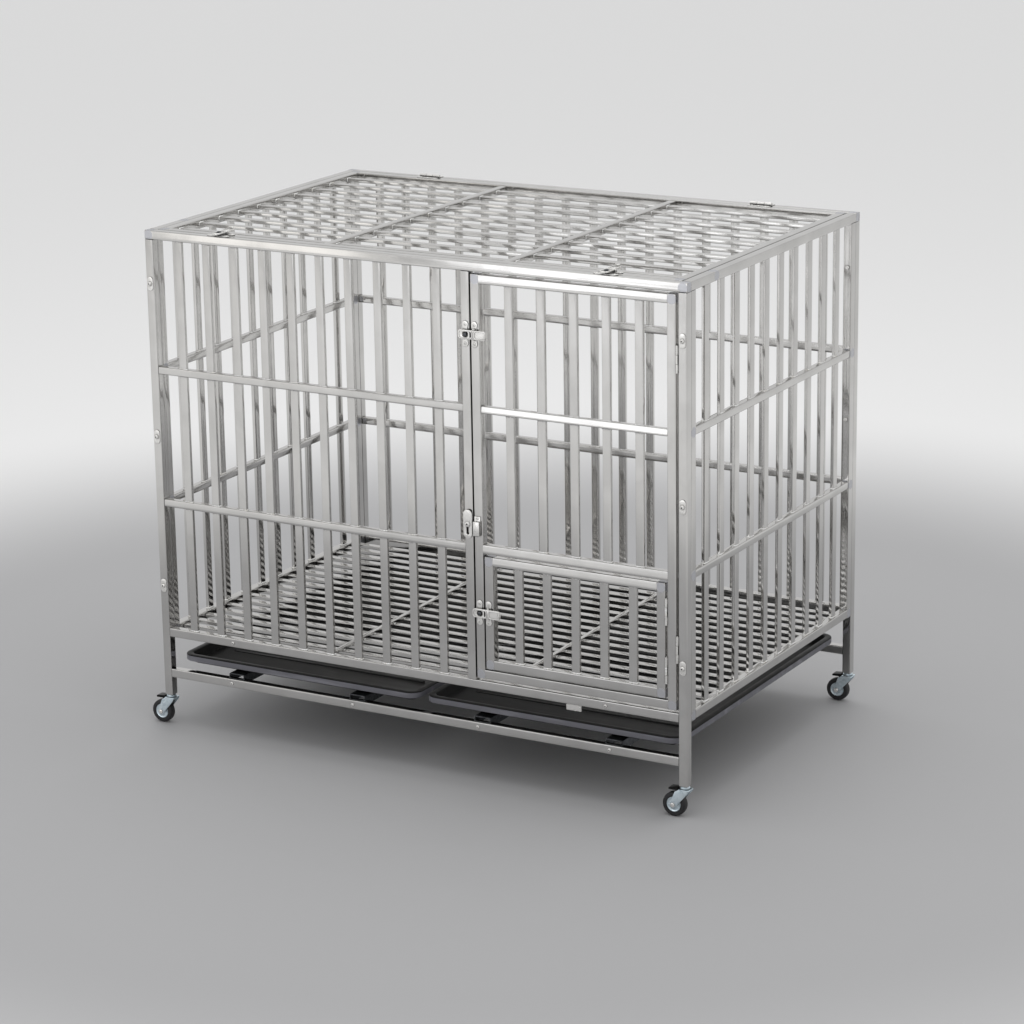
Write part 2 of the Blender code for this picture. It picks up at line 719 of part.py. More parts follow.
def build_main_door():
    origin = MAIN_HINGE + Vector((0, 0, MAIN_DOOR_BOTTOM))
    outer = boxes([((MAIN_DOOR_LEFT, 0, MAIN_DOOR_BOTTOM), (MAIN_DOOR_RIGHT, TUBE, MAIN_DOOR_TOP))])
    frame = part_from(outer, "main_door_frame", POLISHED_STEEL, origin)
    left = MAIN_DOOR_LEFT + TUBE
    right = MAIN_DOOR_RIGHT - TUBE
    upper = ((left, -WELD, LOWER_RAIL_HEIGHT + TUBE / 2), (right, TUBE + WELD, MAIN_DOOR_TOP - TUBE))
    lower = ((left, -WELD, MAIN_DOOR_BOTTOM + TUBE), (right, TUBE + WELD, LOWER_RAIL_HEIGHT - TUBE / 2))
    cut(frame, helper_from(boxes([upper, lower]), "main_door_openings", origin))
    grille(
        "main_door_grille", left, right, LOWER_RAIL_HEIGHT + TUBE / 2, MAIN_DOOR_TOP - TUBE,
        MAIN_DOOR_BARS, MID_RAIL_HEIGHTS[1:], 0,
    )
    add_hinge_half(frame, "main", MAIN_HINGE, MAIN_HINGE_HEIGHTS, side=-1)
    add_hinge_half(frame, "small", SMALL_HINGE, SMALL_HINGE_HEIGHTS, side=1)
    hinge_pins("main_door", MAIN_HINGE, MAIN_HINGE_HEIGHTS)


def build_small_door():
    origin = SMALL_HINGE + Vector((0, 0, SMALL_DOOR_BOTTOM))
    low = (SMALL_DOOR_LEFT, 0, SMALL_DOOR_BOTTOM)
    high = (SMALL_DOOR_RIGHT, TUBE, SMALL_DOOR_TOP)
    door = part_from(boxes([(low, high)]), "small_door", POLISHED_STEEL, origin)
    left = SMALL_DOOR_LEFT + TUBE
    right = SMALL_DOOR_RIGHT - TUBE
    bottom = SMALL_DOOR_BOTTOM + TUBE
    top = SMALL_DOOR_TOP - TUBE
    opening = boxes([((left, -WELD, bottom), (right, TUBE + WELD, top))])
    cut(door, helper_from(opening, "small_door_opening", origin))
    centres = even_places(left, right, SMALL_DOOR_BARS, BAR_WIDTH)
    bars = bar_boxes(along_x, centres, bottom - WELD, top + WELD, 0)
    join(door, helper_from(bars, "small_door_bars", origin))
    add_hinge_half(door, "small", SMALL_HINGE, SMALL_HINGE_HEIGHTS, side=-1)
    hinge_pins("small_door", SMALL_HINGE, SMALL_HINGE_HEIGHTS)


# Roof lid

LID_HINGE_AXIS_Y = DEPTH - TUBE - LID_GAP / 2
LID_HINGE_AXIS_Z = HEIGHT + LID_HINGE_BARREL + SEAT
LID_HINGE_PLACES = (LID_HINGE_SETBACK, WIDTH - LID_HINGE_SETBACK)


def add_lid_hinge_half(carrier, side):
    """Leaf and knuckles of the lid's hinges. Side 1 is behind the axis, -1 in front of it."""
    leaves = bmesh.new()
    tongues = bmesh.new()
    barrels = bmesh.new()
    centre_holes = bmesh.new()
    pins = bmesh.new()
    low_z = HEIGHT - BOND
    high_z = HEIGHT + HINGE_LEAF
    axis = LID_HINGE_AXIS_Y
    near = axis + side * (LID_HINGE_BARREL + HINGE_CLEARANCE)
    far = axis + side * LID_HINGE_LEAF_WIDTH
    inner = near + side * BOND
    under = HEIGHT + SEAT + BOND / 2
    for x in LID_HINGE_PLACES:
        half = LID_HINGE_LENGTH / 2
        add_box(leaves, (x - half, min(near, far), low_z), (x + half, max(near, far), high_z))
        for first, last in knuckle_spans(LID_HINGE_LENGTH, side):
            low = (x + first, min(axis, inner), under)
            high = (x + last, max(axis, inner), high_z - BOND / 4)
            add_box(tongues, low, high)
            start = (x + first, axis, LID_HINGE_AXIS_Z)
            end = (x + last, axis, LID_HINGE_AXIS_Z)
            add_rod(barrels, LID_HINGE_BARREL, start, end, DOME_SEGMENTS)
        start = (x - half - WELD, axis, LID_HINGE_AXIS_Z)
        end = (x + half + WELD, axis, LID_HINGE_AXIS_Z)
        add_rod(centre_holes, LID_HINGE_BORE, start, end, DOME_SEGMENTS)
        start = (x - half + WELD, axis, LID_HINGE_AXIS_Z)
        end = (x + half - WELD, axis, LID_HINGE_AXIS_Z)
        add_rod(pins, LID_HINGE_PIN, start, end, DOME_SEGMENTS)
    join(carrier, helper_from(leaves, f"{carrier.name}_hinge_leaves"))
    join(carrier, helper_from(tongues, f"{carrier.name}_hinge_tongues"))
    join(carrier, helper_from(barrels, f"{carrier.name}_hinge_barrels"))
    if side > 0:
        join(carrier, helper_from(pins, f"{carrier.name}_hinge_pins"))
        centre_holes.free()
    else:
        cut(carrier, helper_from(centre_holes, f"{carrier.name}_hinge_bores"))
        pins.free()


def build_roof_lid():
    edge = TUBE + LID_GAP
    origin = Vector((WIDTH / 2, LID_HINGE_AXIS_Y, LID_HINGE_AXIS_Z))
    outer = boxes([((edge, edge, TOP_RAIL_UNDER), (WIDTH - edge, DEPTH - edge, HEIGHT))])
    lid = part_from(outer, "roof_lid", POLISHED_STEEL, origin)
    inner = edge + TUBE
    low = (inner, inner, TOP_RAIL_UNDER - WELD)
    high = (WIDTH - inner, DEPTH - inner, HEIGHT + WELD)
    cut(lid, helper_from(boxes([(low, high)]), "roof_lid_opening", origin))
    field = (DEPTH - 2 * inner) / LID_SLATS
    places = [inner + field * (index + 0.5) for index in range(LID_SLATS)]
    bars = slats(places, inner - WELD, WIDTH - inner + WELD, TOP_RAIL_HEIGHT)
    join(lid, helper_from(bars, "roof_lid_slats", origin))
    top = HEIGHT - LID_CROSS_DROP
    pairs = []
    for x in shared_places(0, WIDTH, LID_CROSS_TUBES):
        low = (x - RAIL / 2, inner - WELD, top - RAIL)
        high = (x + RAIL / 2, DEPTH - inner + WELD, top)
        pairs.append((low, high))
    join(lid, helper_from(boxes(pairs), "roof_lid_cross_tubes", origin))
    add_lid_hinge_half(lid, side=-1)


# Rocker latches: u runs across the gap, v along it and w out of the face

def latch_frame(middle, across, along):
    """The placing matrix of a latch from its gap's middle and its two directions."""
    across = Vector(across)
    along = Vector(along)
    out = across.cross(along)
    turn = Matrix((across, along, out)).transposed().to_4x4()
    return Matrix.Translation(middle) @ turn


def latch_rocker(name, frame):
    """The plate that the thumb presses, with the barrel that turns on the base's pin."""
    pivot = Vector((LATCH_PIVOT, 0, LATCH_PIVOT_OUT))
    length = LATCH_THUMB_END - LATCH_TONGUE_END
    middle = (LATCH_THUMB_END + LATCH_TONGUE_END) / 2
    edge = rounded_rectangle((middle, 0), (length, LATCH_PLATE_WIDTH), LATCH_PLATE_ROUNDING, 3)
    hole = rounded_rectangle((LATCH_HOLE_CENTRE, 0), LATCH_HOLE, LATCH_HOLE_ROUNDING, 2)
    lift = Matrix.Translation((0, 0, LATCH_PLATE_BACK + LATCH_PLATE_THICKNESS / 2))
    plate = outline_mesh([edge, hole], LATCH_PLATE_THICKNESS, lift)
    rocker = part_from(plate, name, LATCH_STEEL, pivot, frame)
    half = LATCH_PLATE_WIDTH / 2
    barrel = bmesh.new()
    add_rod(barrel, LATCH_BARREL, (pivot.x, -half, pivot.z), (pivot.x, half, pivot.z), DOME_SEGMENTS)
    join(rocker, helper_from(barrel, f"{name}_barrel", pivot, frame))
    lip_half = half - LATCH_PLATE_ROUNDING / 2
    front = LATCH_PLATE_BACK + LATCH_PLATE_THICKNESS
    lip_end = LATCH_THUMB_END - SEAT
    low = (lip_end - LATCH_LIP_THICKNESS, -lip_half, front - BOND)
    high = (lip_end, lip_half, front + LATCH_LIP_RISE)
    join(rocker, helper_from(boxes([(low, high)]), f"{name}_lip", pivot, frame))
    bore = bmesh.new()
    run = half + WELD
    add_rod(bore, LATCH_BORE, (pivot.x, -run, pivot.z), (pivot.x, run, pivot.z), DOME_SEGMENTS)
    cut(rocker, helper_from(bore, f"{name}_bore", pivot, frame))


def latch_base(name, frame):
    """The plate on the door, with two ears and the pin that the rocker turns on."""
    half_length = LATCH_BASE_LENGTH / 2
    half_width = LATCH_BASE_WIDTH / 2
    size = (LATCH_BASE_WIDTH, LATCH_BASE_LENGTH)
    edge = rounded_rectangle((LATCH_PIVOT - SEAT, 0), size, half_width / 2, 2)
    lift = Matrix.Translation((0, 0, SEAT + LATCH_BASE_THICKNESS / 2))
    base = part_from(outline_mesh([edge], LATCH_BASE_THICKNESS, lift), name, LATCH_STEEL, matrix=frame)
    inner = LATCH_PLATE_WIDTH / 2 + LATCH_EAR_GAP
    top = LATCH_PIVOT_OUT + LATCH_BARREL
    under = SEAT + LATCH_BASE_THICKNESS - BOND
    pairs = []
    for low_v, high_v in ((-inner - LATCH_EAR, -inner), (inner, inner + LATCH_EAR)):
        low = (LATCH_PIVOT - LATCH_BARREL, low_v, under)
        high = (LATCH_PIVOT + LATCH_BARREL, high_v, top)
        pairs.append((low, high))
    join(base, helper_from(boxes(pairs), f"{name}_ears", matrix=frame))
    pin = bmesh.new()
    run = inner + LATCH_EAR / 2
    start = (LATCH_PIVOT, -run, LATCH_PIVOT_OUT)
    add_rod(pin, LATCH_PIN, start, (LATCH_PIVOT, run, LATCH_PIVOT_OUT), DOME_SEGMENTS)
    join(base, helper_from(pin, f"{name}_pin", matrix=frame))
    screws = latch_screws(LATCH_PIVOT - SEAT, half_length)
    join(base, helper_from(screws, f"{name}_screws", matrix=frame))


def latch_screws(u, half_length):
    screws = bmesh.new()
    spread = min(LATCH_SCREW_SPREAD, half_length - SCREW_DOME)
    for v in (-spread, spread):
        seat = (u, v, SEAT + LATCH_BASE_THICKNESS)
        add_dome(screws, SCREW_DOME, SCREW_DOME_HEIGHT, seat, (0, 0, 1))
    return screws


def latch_keeper(name, frame):
    """The plate and the boss that the rocker's hole closes over."""
    size = (LATCH_BASE_WIDTH, LATCH_BASE_LENGTH)
    edge = rounded_rectangle((KEEPER_CENTRE, 0), size, LATCH_BASE_WIDTH / 4, 2)
    lift = Matrix.Translation((0, 0, SEAT + LATCH_BASE_THICKNESS / 2))
    plate = outline_mesh([edge], LATCH_BASE_THICKNESS, lift)
    keeper = part_from(plate, name, LATCH_STEEL, matrix=frame)
    boss = bmesh.new()
    under = SEAT + LATCH_BASE_THICKNESS - BOND
    start = (LATCH_HOLE_CENTRE, 0, under)
    add_rod(boss, KEEPER_BOSS, start, (LATCH_HOLE_CENTRE, 0, KEEPER_BOSS_OUT), DOME_SEGMENTS)
    join(keeper, helper_from(boss, f"{name}_boss", matrix=frame))
    screws = latch_screws(KEEPER_CENTRE, LATCH_BASE_LENGTH / 2)
    join(keeper, helper_from(screws, f"{name}_screws", matrix=frame))


def build_latch(name, frame):
    latch_keeper(f"{name}_keeper", frame)
    latch_base(f"{name}_base", frame)
    latch_rocker(f"{name}_rocker", frame)


def build_latches():
    right = (1, 0, 0)
    up = (0, 0, 1)
    main_gap = Vector((CENTRE_POST_RIGHT + DOOR_LATCH_GAP / 2, 0, MAIN_LATCH_HEIGHT))
    build_latch("main_latch", latch_frame(main_gap, right, up))
    small_gap = Vector((SMALL_DOOR_LEFT - SMALL_DOOR_LATCH_GAP / 2, 0, SMALL_DOOR_MIDDLE))
    build_latch("small_latch", latch_frame(small_gap, right, up))
    for side, x in (("left", LID_LATCH_SETBACK), ("right", WIDTH - LID_LATCH_SETBACK)):
        lid_gap = Vector((x, TUBE + LID_GAP / 2, HEIGHT))
        build_latch(f"lid_latch_{side}", latch_frame(lid_gap, (0, 1, 0), (-1, 0, 0)))


# Turn button and catch

def build_turn_button():
    x = CENTRE_POST_LEFT + TUBE / 2
    pivot = Vector((x, 0, BUTTON_HEIGHT))
    turn = Matrix.Rotation(math.radians(90), 4, "X")
    middle = Vector((x, -BUTTON_BACK - BUTTON_THICKNESS / 2, BUTTON_HEIGHT))
    size = (BUTTON_WIDTH, BUTTON_LENGTH)
    edge = rounded_rectangle((0, 0), size, BUTTON_WIDTH / 2 - SEAT, 4)
    plate = outline_mesh([edge], BUTTON_THICKNESS, Matrix.Translation(middle) @ turn)
    button = part_from(plate, "turn_button", LATCH_STEEL, pivot)
    hub = bmesh.new()
    back = -BUTTON_BACK - BOND
    add_rod(hub, BUTTON_HUB, (x, back, BUTTON_HEIGHT), (x, -SEAT, BUTTON_HEIGHT), DOME_SEGMENTS)
    join(button, helper_from(hub, "turn_button_hub", pivot))
    stem = bmesh.new()
    end = (x, BUTTON_STEM_LENGTH, BUTTON_HEIGHT)
    add_rod(stem, BUTTON_STEM, (x, back, BUTTON_HEIGHT), end, DOME_SEGMENTS)
    join(button, helper_from(stem, "turn_button_stem", pivot))
    dome = bmesh.new()
    seat = (x, -BUTTON_BACK - BUTTON_THICKNESS, BUTTON_HEIGHT)
    add_dome(dome, BUTTON_HUB, BUTTON_DOME_HEIGHT, seat, (0, -1, 0))
    join(button, helper_from(dome, "turn_button_dome", pivot))


def build_catch():
    """A hook open at the top, which the button's end turns down into."""
    left = MAIN_DOOR_LEFT + CATCH_EDGE
    right = left + CATCH_WIDTH
    bottom = BUTTON_HEIGHT - CATCH_BELOW
    lip_back = -BUTTON_BACK - BUTTON_THICKNESS - CATCH_PLAY
    lip_front = lip_back - CATCH_WALL
    base_front = -SEAT - CATCH_WALL
    base_high = (right, -SEAT, bottom + CATCH_BASE_HEIGHT)
    catch = box_part("turn_button_catch", (left, base_front, bottom), base_high, LATCH_STEEL)
    web_top = bottom + CATCH_WALL
    web = boxes([((left, lip_front, bottom), (right, base_front + BOND, web_top))])
    join(catch, helper_from(web, "turn_button_catch_web"))
    lip_low = (left, lip_front, web_top - BOND)
    lip = boxes([(lip_low, (right, lip_back, bottom + CATCH_LIP_HEIGHT))])
    join(catch, helper_from(lip, "turn_button_catch_lip"))
    screw = bmesh.new()
    height = bottom + CATCH_BASE_HEIGHT - SCREW_DOME - SEAT
    seat = ((left + right) / 2, base_front, height)
    add_dome(screw, SCREW_DOME, SCREW_DOME_HEIGHT, seat, (0, -1, 0))
    join(catch, helper_from(screw, "turn_button_catch_screw"))


# Trays and their runners

def build_runners():
    for number, x in enumerate(RUNNER_CENTRES, 1):
        start = TUBE + SEAT
        end = DEPTH - TUBE - SEAT
        low = (x - RUNNER_WIDTH / 2, start, RUNNER_TOP - RUNNER_LEG)
        runner = box_part(f"tray_runner_{number}", low, (x + RUNNER_WIDTH / 2, end, RUNNER_TOP), ZINC)
        half = RUNNER_WIDTH / 2 - RUNNER_WALL
        hollow_low = (x - half, start - WELD, RUNNER_TOP - RUNNER_LEG - WELD)
        hollow_high = (x + half, end + WELD, RUNNER_TOP - RUNNER_WALL)
        cut(runner, helper_from(boxes([(hollow_low, hollow_high)]), f"tray_runner_{number}_hollow"))


def add_loop(bm, centre, size, radius, z):
    points = rounded_rectangle(centre, size, radius, TRAY_CORNER_STEPS)
    return [bm.verts.new((x, y, z)) for x, y in points]


def add_band(bm, lower, upper):
    for index, vert in enumerate(lower):
        after = (index + 1) % len(lower)
        bm.faces.new((vert, lower[after], upper[after], upper[index]))


def tray(name, left, right):
    """A shallow moulded tray: floor, sloping wall, flange and a turned-down lip."""
    front = TUBE + TRAY_FRONT_GAP
    back = DEPTH - TUBE - TRAY_BACK_GAP
    centre = ((left + right) / 2, (front + back) / 2)
    outer = Vector((right - left, back - front))
    floor_z = RUNNER_TOP + SEAT + TRAY_WALL
    rim_z = RUNNER_TOP + SEAT + TRAY_HEIGHT
    mouth = outer - Vector((2 * TRAY_FLANGE, 2 * TRAY_FLANGE))
    base = mouth - Vector((2 * TRAY_SLOPE, 2 * TRAY_SLOPE))
    bm = bmesh.new()
    floor = add_loop(bm, centre, base, TRAY_CORNER - TRAY_SLOPE, floor_z)
    wall = add_loop(bm, centre, mouth, TRAY_CORNER, rim_z)
    flange = add_loop(bm, centre, outer, TRAY_CORNER + TRAY_FLANGE, rim_z)
    lip = add_loop(bm, centre, outer, TRAY_CORNER + TRAY_FLANGE, rim_z - TRAY_LIP)
    bm.faces.new(floor)
    add_band(bm, floor, wall)
    add_band(bm, wall, flange)
    add_band(bm, flange, lip)
    bmesh.ops.recalc_face_normals(bm, faces=bm.faces)
    upward = max(bm.faces, key=lambda face: face.calc_area())
    if upward.normal.z < 0:
        bmesh.ops.reverse_faces(bm, faces=bm.faces)
    part = part_from(bm, name, BLACK_PLASTIC, Vector((*centre, RUNNER_TOP)))
    shell = part.modifiers.new("wall", "SOLIDIFY")
    shell.thickness = TRAY_WALL
    shell.offset = -1
    shell.use_even_offset = True


def build_trays():
    left = TUBE + TRAY_SIDE_GAP
    middle = WIDTH / 2
    tray("tray_left", left, middle - TRAY_MIDDLE_GAP / 2)
    tray("tray_right", middle + TRAY_MIDDLE_GAP / 2, WIDTH - left)


# Casters, in coordinates from the middle of the post's lower end

def caster_stem(name, place):
    half = STEM_PLUG / 2
    plug = boxes([((-half, -half, -BOND), (half, half, STEM_PLUG_LENGTH))])
    stem = part_from(plug, name, ZINC, matrix=place)
    collar = bmesh.new()
    add_rod(collar, STEM_COLLAR, (0, 0, -STEM_COLLAR_HEIGHT), (0, 0, -SEAT), WHEEL_SEGMENTS // 2)
    join(stem, helper_from(collar, f"{name}_collar", matrix=place))
    plate_under = FORK_TOP - FORK_PLATE_THICKNESS
    neck = bmesh.new()
    start = (0, 0, plate_under - SEAT - BOND)
    add_rod(neck, STEM_NECK, start, (0, 0, -STEM_COLLAR_HEIGHT + BOND), WHEEL_SEGMENTS // 2)
    join(stem, helper_from(neck, f"{name}_neck", matrix=place))
    rivet = bmesh.new()
    top = plate_under - SEAT
    add_rod(rivet, STEM_RIVET, (0, 0, top), (0, 0, top - STEM_RIVET_HEIGHT), DOME_SEGMENTS, STEM_NECK)
    join(stem, helper_from(rivet, f"{name}_rivet", matrix=place))


def fork_cheek_outline():
    """Side view of a fork's cheek in x and z, from the top plate to the round nose."""
    axle = (-CASTER_TRAIL, AXLE_HEIGHT)
    top = FORK_TOP - FORK_PLATE_THICKNESS / 2
    knee = FORK_TOP - 2 * FORK_PLATE_THICKNESS
    points = arc(axle, FORK_NOSE, 150, 330, NOSE_STEPS)
    points += [(FORK_PLATE_FRONT - FORK_WALL, knee), (FORK_PLATE_FRONT - FORK_WALL, top)]
    points += [(-FORK_PLATE_BACK + SEAT, top), (-FORK_PLATE_BACK - FORK_SHOULDER, knee)]
    return points


def caster_fork(name, place):
    outer = FORK_INNER + FORK_WALL
    plate_under = FORK_TOP - FORK_PLATE_THICKNESS
    low = (-FORK_PLATE_BACK, -outer, plate_under)
    fork = part_from(boxes([(low, (FORK_PLATE_FRONT, outer, FORK_TOP))]), name, ZINC, matrix=place)
    cheeks = bmesh.new()
    turn = Matrix.Rotation(math.radians(90), 4, "X")
    inset = FORK_WALL / 2 + SEAT / 2
    for y in (-outer + inset, outer - inset):
        placed = Matrix.Translation((0, y, 0)) @ turn
        add_mesh_of(cheeks, outline_mesh([fork_cheek_outline()], FORK_WALL, placed))
    join(fork, helper_from(cheeks, f"{name}_cheeks", matrix=place))
    axle = bmesh.new()
    run = FORK_INNER + FORK_WALL / 2
    at = (-CASTER_TRAIL, AXLE_HEIGHT)
    add_rod(axle, AXLE_RADIUS, (at[0], -run, at[1]), (at[0], run, at[1]), DOME_SEGMENTS)
    add_rod(axle, BRAKE_PIN, (BRAKE_PIVOT[0], -run, BRAKE_PIVOT[1]), (BRAKE_PIVOT[0], run, BRAKE_PIVOT[1]))
    join(fork, helper_from(axle, f"{name}_axle", matrix=place))
    heads = bmesh.new()
    for side in (-1, 1):
        start = (at[0], side * (outer - BOND), at[1])
        end = (at[0], side * (outer + AXLE_HEAD_LENGTH), at[1])
        add_rod(heads, AXLE_HEAD, start, end, DOME_SEGMENTS, AXLE_HEAD * DOME_TOP_SHARE)
    join(fork, helper_from(heads, f"{name}_axle_heads", matrix=place))
    hole = bmesh.new()
    radius = STEM_NECK + STEM_NECK_CLEARANCE
    start = (0, 0, plate_under - WELD / 4)
    add_rod(hole, radius, start, (0, 0, FORK_TOP + WELD / 4), WHEEL_SEGMENTS // 2)
    cut(fork, helper_from(hole, f"{name}_hole", matrix=place))


def wheel_profile():
    """Half section of the wheel from its upper bore edge, with x out from the axle."""
    half = WHEEL_WIDTH / 2
    bore = AXLE_RADIUS + AXLE_CLEARANCE
    tread = WHEEL_RADIUS - WHEEL_CROWN
    dish = half - WHEEL_DISH
    web = WHEEL_RADIUS - 3 * WHEEL_CROWN
    upper = [(bore, half), (WHEEL_HUB_RADIUS, half), (WHEEL_HUB_RADIUS + WHEEL_DISH, dish)]
    upper += [(web - WHEEL_DISH, dish), (web, half), (tread, half), (WHEEL_RADIUS, half - 2 * WHEEL_CROWN)]
    lower = [(x, -z) for x, z in reversed(upper)]
    return upper + lower


def caster_wheel(name, place):
    bm = bmesh.new()
    profile = [bm.verts.new((x, 0, z)) for x, z in wheel_profile()]
    for index, vert in enumerate(profile):
        bm.edges.new((vert, profile[(index + 1) % len(profile)]))
    axle = Matrix.Translation((-CASTER_TRAIL, 0, AXLE_HEIGHT))
    placed = place @ axle @ Matrix.Rotation(math.radians(90), 4, "X")
    wheel = part_from(bm, name, RUBBER, matrix=placed)
    screw = wheel.modifiers.new("turn", "SCREW")
    screw.axis = "Z"
    screw.steps = WHEEL_SEGMENTS
    screw.render_steps = WHEEL_SEGMENTS
    screw.use_merge_vertices = True
    screw.merge_threshold = 1e-5
    screw.use_normal_calculate = True


def brake_outline():
    """Side view of the pedal in x and z, round its pivot."""
    x, z = BRAKE_PIVOT
    far = x - BRAKE_PEDAL_REACH
    near = -FORK_PLATE_BACK - 2 * SEAT
    top = z + BRAKE_PEDAL_TOP
    under = z + BRAKE_PEDAL_UNDER
    points = arc((x, z), BRAKE_BOSS, 180, 400, NOSE_STEPS)
    points += [(near, z + BRAKE_BOSS), (near, top - WHEEL_CROWN), (near - WHEEL_CROWN, top)]
    points += [(far + WHEEL_CROWN, top - WHEEL_CROWN), (far, top - 2 * WHEEL_CROWN)]
    points += [(far, under), (x - BRAKE_BOSS, under)]
    return points


def caster_brake(name, place):
    turn = Matrix.Rotation(math.radians(90), 4, "X")
    x, z = BRAKE_PIVOT
    hole = arc((x, z), BRAKE_BORE, 0, 360 - 360 / DOME_SEGMENTS, DOME_SEGMENTS - 1)
    plate = outline_mesh([brake_outline(), hole], 2 * BRAKE_HALF_WIDTH, turn)
    part_from(plate, name, BLACK_PLASTIC, Vector((x, 0, z)), place)


def build_casters():
    near = POST_CENTRE
    corners = {
        "front_left": (near, near),
        "front_right": (WIDTH - near, near),
        "back_left": (near, DEPTH - near),
        "back_right": (WIDTH - near, DEPTH - near),
    }
    for corner, (x, y) in corners.items():
        place = Matrix.Translation((x, y, 0))
        caster_stem(f"{corner}_caster_stem", place)
        caster_fork(f"{corner}_caster_fork", place)
        caster_wheel(f"{corner}_caster_wheel", place)
        caster_brake(f"{corner}_caster_brake", place)


# Placing

# Pieces that each moving piece carries
CARRIED = {
    "main_door_frame": (
        "main_door_grille", "main_latch_base", "main_latch_rocker", "turn_button_catch",
        "small_latch_keeper", "small_door_lower_hinge_pin", "small_door_upper_hinge_pin", "small_door",
    ),
    "small_door": ("small_latch_base", "small_latch_rocker"),
    "roof_lid": (
        "lid_latch_left_base", "lid_latch_left_rocker", "lid_latch_right_base", "lid_latch_right_rocker",
    ),
    "front_left_caster_fork": ("front_left_caster_wheel", "front_left_caster_brake"),
    "front_right_caster_fork": ("front_right_caster_wheel", "front_right_caster_brake"),
    "back_left_caster_fork": ("back_left_caster_wheel", "back_left_caster_brake"),
    "back_right_caster_fork": ("back_right_caster_wheel", "back_right_caster_brake"),
}


def attach_carried_pieces():
    """Parents each carried piece to the piece whose origin is on the joint."""
    placed = {obj.name: obj.matrix_world.copy() for obj in PARTS.objects}
    for carrier_name, names in CARRIED.items():
        carrier = PARTS.objects[carrier_name]
        for name in names:
            piece = PARTS.objects[name]
            piece.parent = carrier
            piece.matrix_parent_inverse = placed[carrier_name].inverted()
    bpy.context.view_layer.update()


def outline_of_parts():
    """Lowest and highest corners of the whole object, with every modifier counted."""
    bpy.context.view_layer.update()
    graph = bpy.context.evaluated_depsgraph_get()
    corners = []
    for obj in PARTS.objects:
        evaluated = obj.evaluated_get(graph)
        corners += [evaluated.matrix_world @ Vector(corner) for corner in evaluated.bound_box]
    low = Vector([min(corner[axis] for corner in corners) for axis in range(3)])
    high = Vector([max(corner[axis] for corner in corners) for axis in range(3)])
    return low, high


def stand_on_origin():
    """Moves everything so that the origin is on the floor, at the outline's middle."""
    low, high = outline_of_parts()
    shift = Matrix.Translation(-Vector(((low.x + high.x) / 2, (low.y + high.y) / 2, low.z)))
    for obj in list(PARTS.objects) + list(HELPERS.objects):
        if obj.parent is None:
            obj.matrix_world = shift @ obj.matrix_world


build_front_frame()
build_back_frame()
side_panel("left_side_panel", 0)
side_panel("right_side_panel", WIDTH - TUBE)
build_floor_grid()
build_main_door()
build_small_door()
build_roof_lid()
build_latches()
build_turn_button()
build_catch()
build_runners()
build_trays()
build_casters()
attach_carried_pieces()
stand_on_origin()
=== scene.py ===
"""Looks of the dog crate: polished steel tube, slats, latches, trays and casters.

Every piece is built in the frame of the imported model. Places are given in the cage's own
millimetres (x from the left face, y from the front face, z from the posts' lower ends) and
turned to metres of the frame by Cage.matrix.
"""

import logging
import math
import random
from dataclasses import dataclass, field
from enum import Enum
from typing import Iterable, Sequence

import bmesh
import bpy
from mathutils import Matrix, Vector


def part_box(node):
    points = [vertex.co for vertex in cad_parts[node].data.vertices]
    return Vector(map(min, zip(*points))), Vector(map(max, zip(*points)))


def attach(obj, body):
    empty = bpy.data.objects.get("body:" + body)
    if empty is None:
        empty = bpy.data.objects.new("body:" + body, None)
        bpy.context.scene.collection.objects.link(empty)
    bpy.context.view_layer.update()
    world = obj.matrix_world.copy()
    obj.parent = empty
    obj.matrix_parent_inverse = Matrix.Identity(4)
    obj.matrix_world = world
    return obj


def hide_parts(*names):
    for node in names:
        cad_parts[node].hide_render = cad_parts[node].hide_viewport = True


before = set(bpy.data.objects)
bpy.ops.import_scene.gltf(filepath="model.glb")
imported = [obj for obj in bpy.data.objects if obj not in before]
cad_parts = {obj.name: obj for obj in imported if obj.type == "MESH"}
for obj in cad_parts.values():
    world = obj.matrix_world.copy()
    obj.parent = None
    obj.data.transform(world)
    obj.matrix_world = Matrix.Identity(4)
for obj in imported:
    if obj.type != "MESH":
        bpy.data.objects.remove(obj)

LOG = logging.getLogger("dog_crate")
MM = 0.001
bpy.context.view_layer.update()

Pair = tuple[float, float]
Triple = tuple[float, float, float]
Colour = tuple[float, float, float]
Socket = bpy.types.NodeSocket
Ring = list[bmesh.types.BMVert]


class Slot(Enum):
    """Material slots of the record."""

    STEEL = "polished_steel"
    LATCH = "latch_steel"
    ZINC = "zinc"
    RUBBER = "rubber"
    PLASTIC = "black_plastic"


class Face(Enum):
    """The way that a head or a washer looks."""

    FRONT = (0, -1, 0)
    BACK = (0, 1, 0)
    UP = (0, 0, 1)


# Materials

